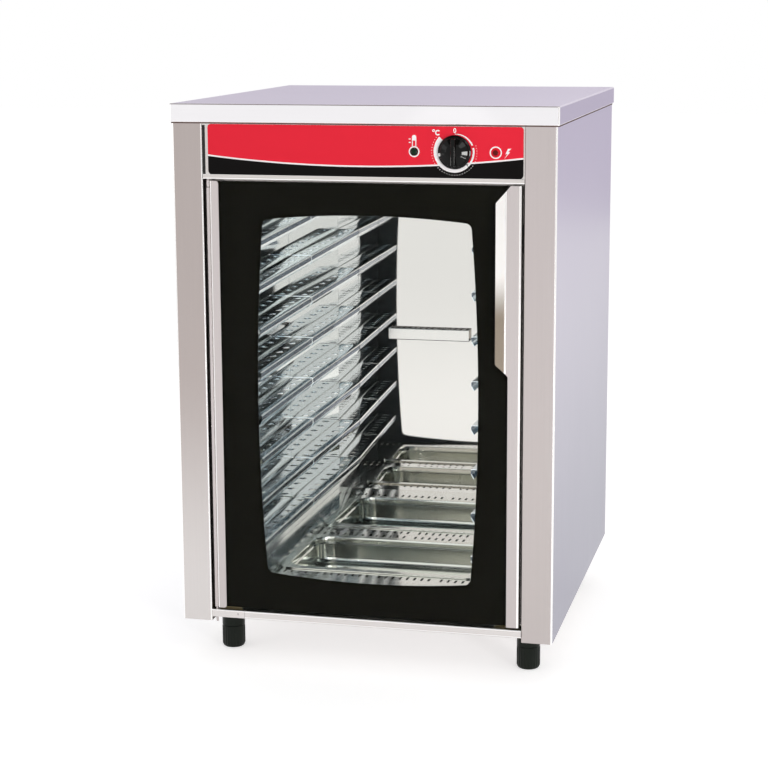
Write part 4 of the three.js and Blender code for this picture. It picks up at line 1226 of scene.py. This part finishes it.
def drawSlots(bm, width, panLow, panHigh):
    shape = plateShape
    slotWidth, length = shape["slot"]
    groupWidth = shape["slotGroup"] * shape["pitch"] + shape["groupGap"]
    groups = math.floor(width / groupWidth)
    for centre in (panLow.y - shape["margin"] - length / 2, panHigh.y + shape["margin"] + length / 2):
        for group in range(groups):
            start = (group - groups / 2) * groupWidth + shape["groupGap"] / 2
            for i in range(shape["slotGroup"]):
                x = start + (i + 0.5) * shape["pitch"]
                low = (x - slotWidth / 2, centre - length / 2)
                high = (x + slotWidth / 2, centre + length / 2)
                drawLoop(bm, low, high, slotWidth * shape["slotRound"], steps=3)


def drawDots(bm, width, near):
    shape = plateShape
    count = math.floor((width - 2 * shape["dotMargin"]) / shape["dotPitch"])
    for row in range(shape["dotRows"]):
        for i in range(count):
            x = (i - (count - 1) / 2) * shape["dotPitch"]
            drawRound(bm, (x, near + shape["dotMargin"] + row * shape["dotRowPitch"]), shape["dot"], sides=6)


def makeFloorPlate(name, node, pan, isFront):
    low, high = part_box(node)
    panLow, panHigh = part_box(pan)
    rim = plateShape["panRim"]
    bm = bmesh.new()
    drawLoop(bm, (low.x, low.y), (high.x, high.y))
    drawLoop(bm, (panLow.x + rim, panLow.y + rim), (panHigh.x - rim, panHigh.y - rim),
             plateShape["panCorner"], steps=8)
    drawSlots(bm, high.x - low.x, panLow, panHigh)
    if isFront:
        drawDots(bm, high.x - low.x, low.y)
    fillLoops(bm)
    thicken(bm, high.z - low.z)
    moveAll(bm, Matrix.Translation((0, 0, high.z)))
    addPiece(name, bm, steel["plateSteel"], node)


panShape = inMm(rim=14, rimCorner=22, tubCorner=30, lip=2, sheet=0.8, shoulder=2.5, shoulderDrop=9,
                shoulderDraft=0.3, wallDraft=0.8, floorBend=9, floorGap=0.05, topBend=2.5, softEdge=0.35) | {
    "topSteps": ((0.3, 0.12), (0.7, 0.3)),        # drop and squeeze, as shares of the top bend
    "cornerSteps": 10, "bendSteps": 5,
}


def makePan(name, node, body):
    # Rim, shoulder, wall and floor drawn down from two matching loops
    shape = panShape
    low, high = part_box(node)
    centre = (low + high) / 2
    halfX, halfY = (high.x - low.x) / 2, (high.y - low.y) / 2
    bm = bmesh.new()

    def drawRim(inset, corner):
        drawLoop(bm, (centre.x - halfX + inset, centre.y - halfY + inset),
                 (centre.x + halfX - inset, centre.y + halfY - inset), corner, shape["cornerSteps"])

    def lower(edges, drop, squeeze):
        made = bmesh.ops.extrude_edge_only(bm, edges=edges)["geom"]
        verts = newOf(made, bmesh.types.BMVert)
        bmesh.ops.translate(bm, verts=verts, vec=(0, 0, -drop))
        if squeeze:
            spanX = max(v.co.x for v in verts) - centre.x
            spanY = max(v.co.y for v in verts) - centre.y
            bmesh.ops.scale(bm, verts=verts, vec=(1 - squeeze / spanX, 1 - squeeze / spanY, 1),
                            space=Matrix.Translation((-centre.x, -centre.y, 0)))
        return frontEdges(made)

    drawRim(0, shape["rimCorner"])
    outer = list(bm.edges)
    drawRim(shape["rim"], shape["tubCorner"])
    inner = [e for e in bm.edges if e not in outer]
    bmesh.ops.delete(bm, geom=list(bm.faces), context="FACES_ONLY")
    bmesh.ops.bridge_loops(bm, edges=outer + inner)
    moveAll(bm, Matrix.Translation((0, 0, high.z)))
    lower(outer, shape["lip"], 0)
    top, shoulder, bend = shape["topBend"], shape["shoulder"], shape["floorBend"]
    wall = inner
    for drop, squeeze in shape["topSteps"]:
        wall = lower(wall, top * drop, top * squeeze)
    wall = lower(wall, shape["shoulderDrop"] - top, shape["shoulderDraft"])
    wall = lower(wall, shoulder / 2, shoulder)
    drop = high.z - low.z - shape["shoulderDrop"] - shoulder / 2 - bend - shape["floorGap"]
    wall = lower(wall, drop, shape["wallDraft"])
    steps = shape["bendSteps"]
    for i in range(steps):
        a, b = (math.radians(90 * k / steps) for k in (i, i + 1))
        wall = lower(wall, bend * (math.sin(b) - math.sin(a)), bend * (math.cos(a) - math.cos(b)))
    bmesh.ops.triangle_fill(bm, edges=wall, use_beauty=True, normal=(0, 0, 1))
    bmesh.ops.recalc_face_normals(bm, faces=list(bm.faces))
    rimFace = max(bm.faces, key=lambda f: f.calc_center_median().z)
    if rimFace.normal.z < 0:
        bmesh.ops.reverse_faces(bm, faces=list(bm.faces))
    thicken(bm, shape["sheet"])
    addPiece(name, bm, steel["panSteel"], node, body, edge=shape["softEdge"])


coverShape = inMm(bend=1.2, slotWidth=4, slotMargin=3, slotCorner=1.6, sheet=1) | {"slots": 14}


def makeProbeCover():
    shape = coverShape
    low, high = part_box("probe_cover")
    r, half, margin = shape["bend"], shape["slotWidth"] / 2, shape["slotMargin"]
    depth, height = high.y - low.y, high.z - low.z
    bm = bmesh.new()
    drawLoop(bm, (low.x, low.y + r), (high.x, high.y))
    pitch = (high.x - low.x) / shape["slots"]
    for i in range(shape["slots"]):
        x = low.x + (i + 0.5) * pitch
        drawLoop(bm, (x - half, low.y + margin), (x + half, high.y - margin), shape["slotCorner"], steps=3)
    fillLoops(bm)
    moveAll(bm, Matrix.Translation((0, 0, high.z)))
    edge = edgesWhere(bm, lambda e: all(v.co.y < low.y + r + tiny for v in e.verts))
    foldSheet(bm, edge, xAxis, -yAxis, [(r, 90), height - 2 * r, (r, 90), depth - r])
    cleanUp(bm, zAxis)
    # The slotted top and the lower edge get the dark steel, painted shade; the bends get the painted
    # highlight
    for face in bm.faces:
        if face.normal.z > squareOn or face.calc_center_median().z < low.z + r:
            face.material_index = 2
    addPiece("probeCover", bm, bent("coverSteel") + [steel["paintedShadeSteel"]], "probe_cover",
             sheet=shape["sheet"])


heaterShape = {"bend": 30 * mm, "fitShare": 0.98, "sides": 12, "steps": 8}


def makeHeater():
    # One rod bent into a U that lies under the pans
    shape = heaterShape
    low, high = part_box("heating_element")
    radius = (high.z - low.z) / 2
    bend = shape["bend"]
    left, right, near, height = low.x + radius, high.x - radius, low.y + radius, low.z + radius
    bm = bmesh.new()
    place = Matrix.Translation((left, high.y, height)) @ standUp
    ring = bmesh.ops.create_circle(bm, cap_ends=False, segments=shape["sides"],
                                   radius=radius * shape["fitShare"], matrix=place)["verts"]
    across, depth = high.x - low.x - 2 * radius, high.y - low.y - radius

    def turn(edges, centre):
        made = bmesh.ops.spin(bm, geom=edges, cent=centre, axis=zAxis, angle=math.radians(90),
                              steps=shape["steps"])["geom_last"]
        return newOf(made, bmesh.types.BMEdge)

    edges = runOn(bm, edgesOf(ring), Vector((0, -(depth - bend), 0)))
    edges = turn(edges, (left + bend, near + bend, height))
    edges = runOn(bm, edges, Vector((across - 2 * bend, 0, 0)))
    edges = turn(edges, (right - bend, near + bend, height))
    runOn(bm, edges, Vector((0, depth - bend, 0)))
    bmesh.ops.holes_fill(bm, edges=edgesWhere(bm, lambda e: e.is_boundary), sides=0)
    cleanUp(bm)
    addPiece("heaterRod", bm, steel["sheathSteel"], "heating_element")


# Controls

knobShape = inMm(bore=3.7, skirt=3.4, grip=9.2, gripEdge=1.6, gripMargin=0.4, gripSink=1, edge=0.7) | {
    "faceShare": 0.86, "coreShare": 0.58, "slope": 27, "coneShare": 0.38,
    "crown": [(0.82, 0.9), (0.45, 1.4), (0, 1.6)],        # share of the core, rise in edge widths
    "gripWaistShare": 0.72, "gripLengthShare": 0.965,
}


def makeKnob():
    shape = knobShape
    low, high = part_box("thermostat_knob")
    centre = (low + high) / 2
    radius = (high.x - low.x) / 2
    rear, tip = high.y, low.y
    depth = rear - tip
    face = radius * shape["faceShare"]
    e, bore, skirt = shape["edge"], shape["bore"], shape["skirt"]
    rim, core = face - e, face * shape["coreShare"]
    slope = math.tan(math.radians(shape["slope"]))
    cone = [(r, depth * shape["coneShare"] + (rim - r) * slope) for r in (rim, rim - e, core + e, core)]
    crown = [(core * share, cone[-1][1] + rise * e) for share, rise in shape["crown"]]
    bm = bmesh.new()
    outline = [(bore, e), (bore, 0), (radius - e, 0), (radius, e), (radius, skirt - e), (radius - e, skirt),
               (face + e, skirt + e / 2), (face, skirt + 2 * e), (face, cone[0][1] - e)] + cone + crown
    addTurned(bm, outline, (centre.x, rear, centre.z), -yAxis, steps=64)
    half, reach = shape["grip"] / 2, face - shape["gripMargin"]
    before = set(bm.verts)
    addBlock(bm, (centre.x - half, tip, centre.z - reach),
             (centre.x + half, rear - skirt - shape["gripSink"], centre.z + reach))
    made = [v for v in bm.verts if v not in before]
    ridge = [v for v in made if v.co.y < tip + tiny]
    bmesh.ops.scale(bm, verts=ridge, vec=(shape["gripWaistShare"], 1, shape["gripLengthShare"]),
                    space=Matrix.Translation((-centre.x, 0, -centre.z)))
    bevelEdges(bm, edgesOf(made), shape["gripEdge"], steps=4)
    cleanUp(bm)
    addPiece("thermostatKnob", bm, moulded["knobPlastic"], "thermostat_knob", "knob",
             angle=50)


lampShape = inMm(rim=6, stem=4.6, dark=3.9, sink=0.3) | {
    "dome": 0.78, "domeLow": 0.42, "domeHigh": 0.58, "domeTurn": 15,
    "step": (0.8, 0.35), "rimTop": (0.96, 0.33), "rimEdge": 0.2,
}


def makePilotLamp(name, node, lens, rim):
    shape = lampShape
    low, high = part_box(node)
    centre = (low + high) / 2
    seat = front - shape["sink"]
    rise, reach, wide = seat - low.y, high.y - seat, shape["rim"]
    bm = bmesh.new()
    points = [(0, rise)]
    for angle in range(shape["domeTurn"], 90 + 1, shape["domeTurn"]):
        across, up = math.sin(math.radians(angle)), math.cos(math.radians(angle))
        points.append((wide * shape["dome"] * across, rise * (shape["domeLow"] + shape["domeHigh"] * up)))
    points += [(wide * share, rise * up) for share, up in (shape["step"], shape["rimTop"])]
    points += [(wide, rise * shape["rimEdge"]), (wide, 0)]
    points += [(shape["stem"], 0), (shape["stem"], -reach), (0, -reach)]
    addTurned(bm, points, (centre.x, seat, centre.z), -yAxis, steps=40)
    cleanUp(bm)
    for face in bm.faces:
        middle = face.calc_center_median() - centre
        face.material_index = int(math.hypot(middle.x, middle.z) > shape["dark"])
    addPiece(name, bm, [moulded[lens], moulded[rim]], node, angle=45)


glandShape = inMm(hexSide=10.6, hexGap=0.3, hexRise=5.5, hexEdge=0.5, bore=4, capLow=5, cap=8.8, capStep=6.5,
                  waist=8.2, waistDrop=3, neck=7.4, neckDrop=1, mouth=6, tail=7.6, tailTop=0.2,
                  ribHalf=0.5, ribLow=6.2, ribDrop=2.6, ribReach=(7.6, 9.2), ribEdge=0.3) | {"ribs": 12}


def makeGland():
    shape = glandShape
    low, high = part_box("cable_gland")
    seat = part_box("back_panel")[1].y
    centre = Vector(((low.x + high.x) / 2, seat, (low.z + high.z) / 2))
    bm = bmesh.new()
    place = Matrix.Translation(centre + yAxis * shape["hexGap"]) @ standUp
    bmesh.ops.create_circle(bm, cap_ends=True, segments=6, radius=shape["hexSide"], matrix=place)
    grown = bmesh.ops.extrude_face_region(bm, geom=list(bm.faces))["geom"]
    bmesh.ops.translate(bm, verts=newOf(grown, bmesh.types.BMVert), vec=(0, shape["hexRise"], 0))
    bevelEdges(bm, list(bm.edges), shape["hexEdge"], steps=2)
    top = high.y - seat
    bore, cap, neck, waist = shape["bore"], shape["cap"], shape["neck"], shape["waist"]
    addTurned(bm, [(bore, shape["capLow"]), (cap, shape["capLow"]), (cap, shape["capStep"]),
                   (waist, top - shape["waistDrop"]), (neck, top - shape["neckDrop"]), (shape["mouth"], top),
                   (bore, top), (bore, shape["capLow"])], centre, yAxis, steps=36)
    half, (near, far) = shape["ribHalf"], shape["ribReach"]
    for i in range(shape["ribs"]):
        turn = Matrix.Rotation(2 * math.pi * i / shape["ribs"], 4, "Y")
        start = set(bm.verts)
        addBlock(bm, (-half, shape["ribLow"], near), (half, top - shape["ribDrop"], far),
                 shape["ribEdge"], steps=1)
        made = [v for v in bm.verts if v not in start]
        bmesh.ops.transform(bm, verts=made, matrix=Matrix.Translation(centre) @ turn)
    tail, tailTop, rear = shape["tail"], shape["tailTop"], seat - low.y
    addTurned(bm, [(bore, -rear), (tail, -rear), (tail, tailTop), (bore, tailTop), (bore, -rear)],
              centre, yAxis, steps=28)
    cleanUp(bm)
    addPiece("cableGland", bm, moulded["casePlastic"], "cable_gland")


footShape = inMm(edge=4, ribStart=0.8, collar=1.4, collarStep=0.6, topEdge=0.5, topInset=0.6, stem=8,
                 gap=0.3) | {
    "ribs": 24, "sidesPerRib": 4, "ribDepth": 0.045, "swellShare": 0.99, "edgeSteps": 4,
}
socketShape = inMm(edge=0.8, bore=8.6, boreTop=1, taper=0.1) | {"waistShare": 0.985}


def makeFoot(name, node, top):
    shape = footShape
    low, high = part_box(node)
    centre = (low + high) / 2
    smooth = (high.x - low.x) / 2 * (1 - shape["ribDepth"])
    edge = shape["edge"]
    bm = bmesh.new()
    ring = bmesh.ops.create_circle(bm, cap_ends=True, segments=shape["ribs"] * shape["sidesPerRib"],
                                   radius=smooth - edge,
                                   matrix=Matrix.Translation((centre.x, centre.y, 0)))["verts"]

    def ringAt(edges, z, wide, ribbed=False):
        grown = bmesh.ops.extrude_edge_only(bm, edges=edges)["geom"]
        depth = shape["ribDepth"] / (1 - shape["ribDepth"])
        for v in newOf(grown, bmesh.types.BMVert):
            angle = math.atan2(v.co.y - centre.y, v.co.x - centre.x)
            swell = max(0.0, math.cos(angle * shape["ribs"])) if ribbed else 0.0
            reach = wide * (1 + depth * swell * shape["swellShare"])
            v.co = (centre.x + reach * math.cos(angle), centre.y + reach * math.sin(angle), z)
        return frontEdges(grown)

    edges = edgesOf(ring)
    for i in range(1, shape["edgeSteps"] + 1):
        turn = math.radians(90 * i / shape["edgeSteps"])
        edges = ringAt(edges, edge * (1 - math.cos(turn)), smooth - edge * (1 - math.sin(turn)))
    edges = ringAt(edges, edge + shape["ribStart"], smooth, True)
    edges = ringAt(edges, top - shape["collar"] - shape["collarStep"], smooth, True)
    for z, wide in ((top - shape["collar"], smooth), (top - shape["topEdge"], smooth),
                    (top, smooth - shape["topInset"]), (top, shape["stem"]), (high.z, shape["stem"])):
        edges = ringAt(edges, z, wide)
    bmesh.ops.holes_fill(bm, edges=edges, sides=0)
    cleanUp(bm)
    addPiece(name, bm, moulded["footPlastic"], node, node)


def makeSocket(name, node, radius):
    shape = socketShape
    low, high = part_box(node)
    height = high.z - low.z
    e, bore = shape["edge"], shape["bore"]
    bm = bmesh.new()
    widest = radius - shape["taper"]
    addTurned(bm, [(bore, height - shape["boreTop"]), (bore, 0), (radius - e, 0), (widest, e),
                   (radius * shape["waistShare"], height / 2), (widest, height - e), (radius - e, height),
                   (0, height)],
              ((low.x + high.x) / 2, (low.y + high.y) / 2, low.z), zAxis, steps=48)
    bmesh.ops.holes_fill(bm, edges=edgesWhere(bm, lambda e: e.is_boundary), sides=0)
    cleanUp(bm)
    addPiece(name, bm, moulded["footPlastic"], node)


def makeFeet():
    for place in ("front_left", "front_right", "rear_left", "rear_right"):
        title = place.title().replace("_", "")
        low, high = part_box("foot_" + place)
        socket = "foot_socket_" + place
        makeFoot("foot" + title, "foot_" + place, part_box(socket)[0].z - footShape["gap"])
        makeSocket("socket" + title, socket, (high.x - low.x) / 2)


makeWorktop()
makeSidePanel("leftSidePanel", "left_side_panel", -1)
makeSidePanel("rightSidePanel", "right_side_panel", 1)
makeBackPanel()
makeBottomRail()
makeControlPanel()
makeFascia()
makeDialPrint()
print("stage: carcase built")
makeHingeStile()
makeHandleStile()
makeDoorGlass()
makeInnerFrame()
makeGasket()
makeHingeFittings()
addPlainBlock("doorMagnet", "door_magnet", moulded["casePlastic"],
              magnetShape["edge"], steps=2)
print("stage: door built")
makeFrontFrame()
makeLiner()
for level in range(1, railShape["levels"] + 1):
    makeRail(f"railLeft{level}", f"rail_left_{level}", -1)
    makeRail(f"railRight{level}", f"rail_right_{level}", 1)
makeFloorPlate("floorPlateFront", "floor_plate_front", "pan_front", True)
makeFloorPlate("floorPlateRear", "floor_plate_rear", "pan_rear", False)
makePan("waterPanFront", "pan_front", "pan_front")
makePan("waterPanRear", "pan_rear", "pan_rear")
makeProbeCover()
makeHeater()
print("stage: cavity built")
makeKnob()
makePilotLamp("greenLamp", "pilot_lamp_green", "greenLens", "greenRim")
makePilotLamp("redLamp", "pilot_lamp_red", "redLens", "redRim")
makeGland()
makeFeet()
print("stage: controls, gland and feet built")

carriedOver = {        # solids that keep their own mesh and only get a finish
    "base_panel": (steel["panelSteel"], "panel_steel"),
    "thermostat_body": (moulded["casePlastic"], "black_plastic"),
    "insulation_left": (moulded["mineralWool"], "insulation"),
    "insulation_right": (moulded["mineralWool"], "insulation"),
    "insulation_top": (moulded["mineralWool"], "insulation"),
}
for node, (material, slot) in carriedOver.items():
    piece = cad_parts[node]
    piece.data.materials.clear()
    piece.data.materials.append(material)
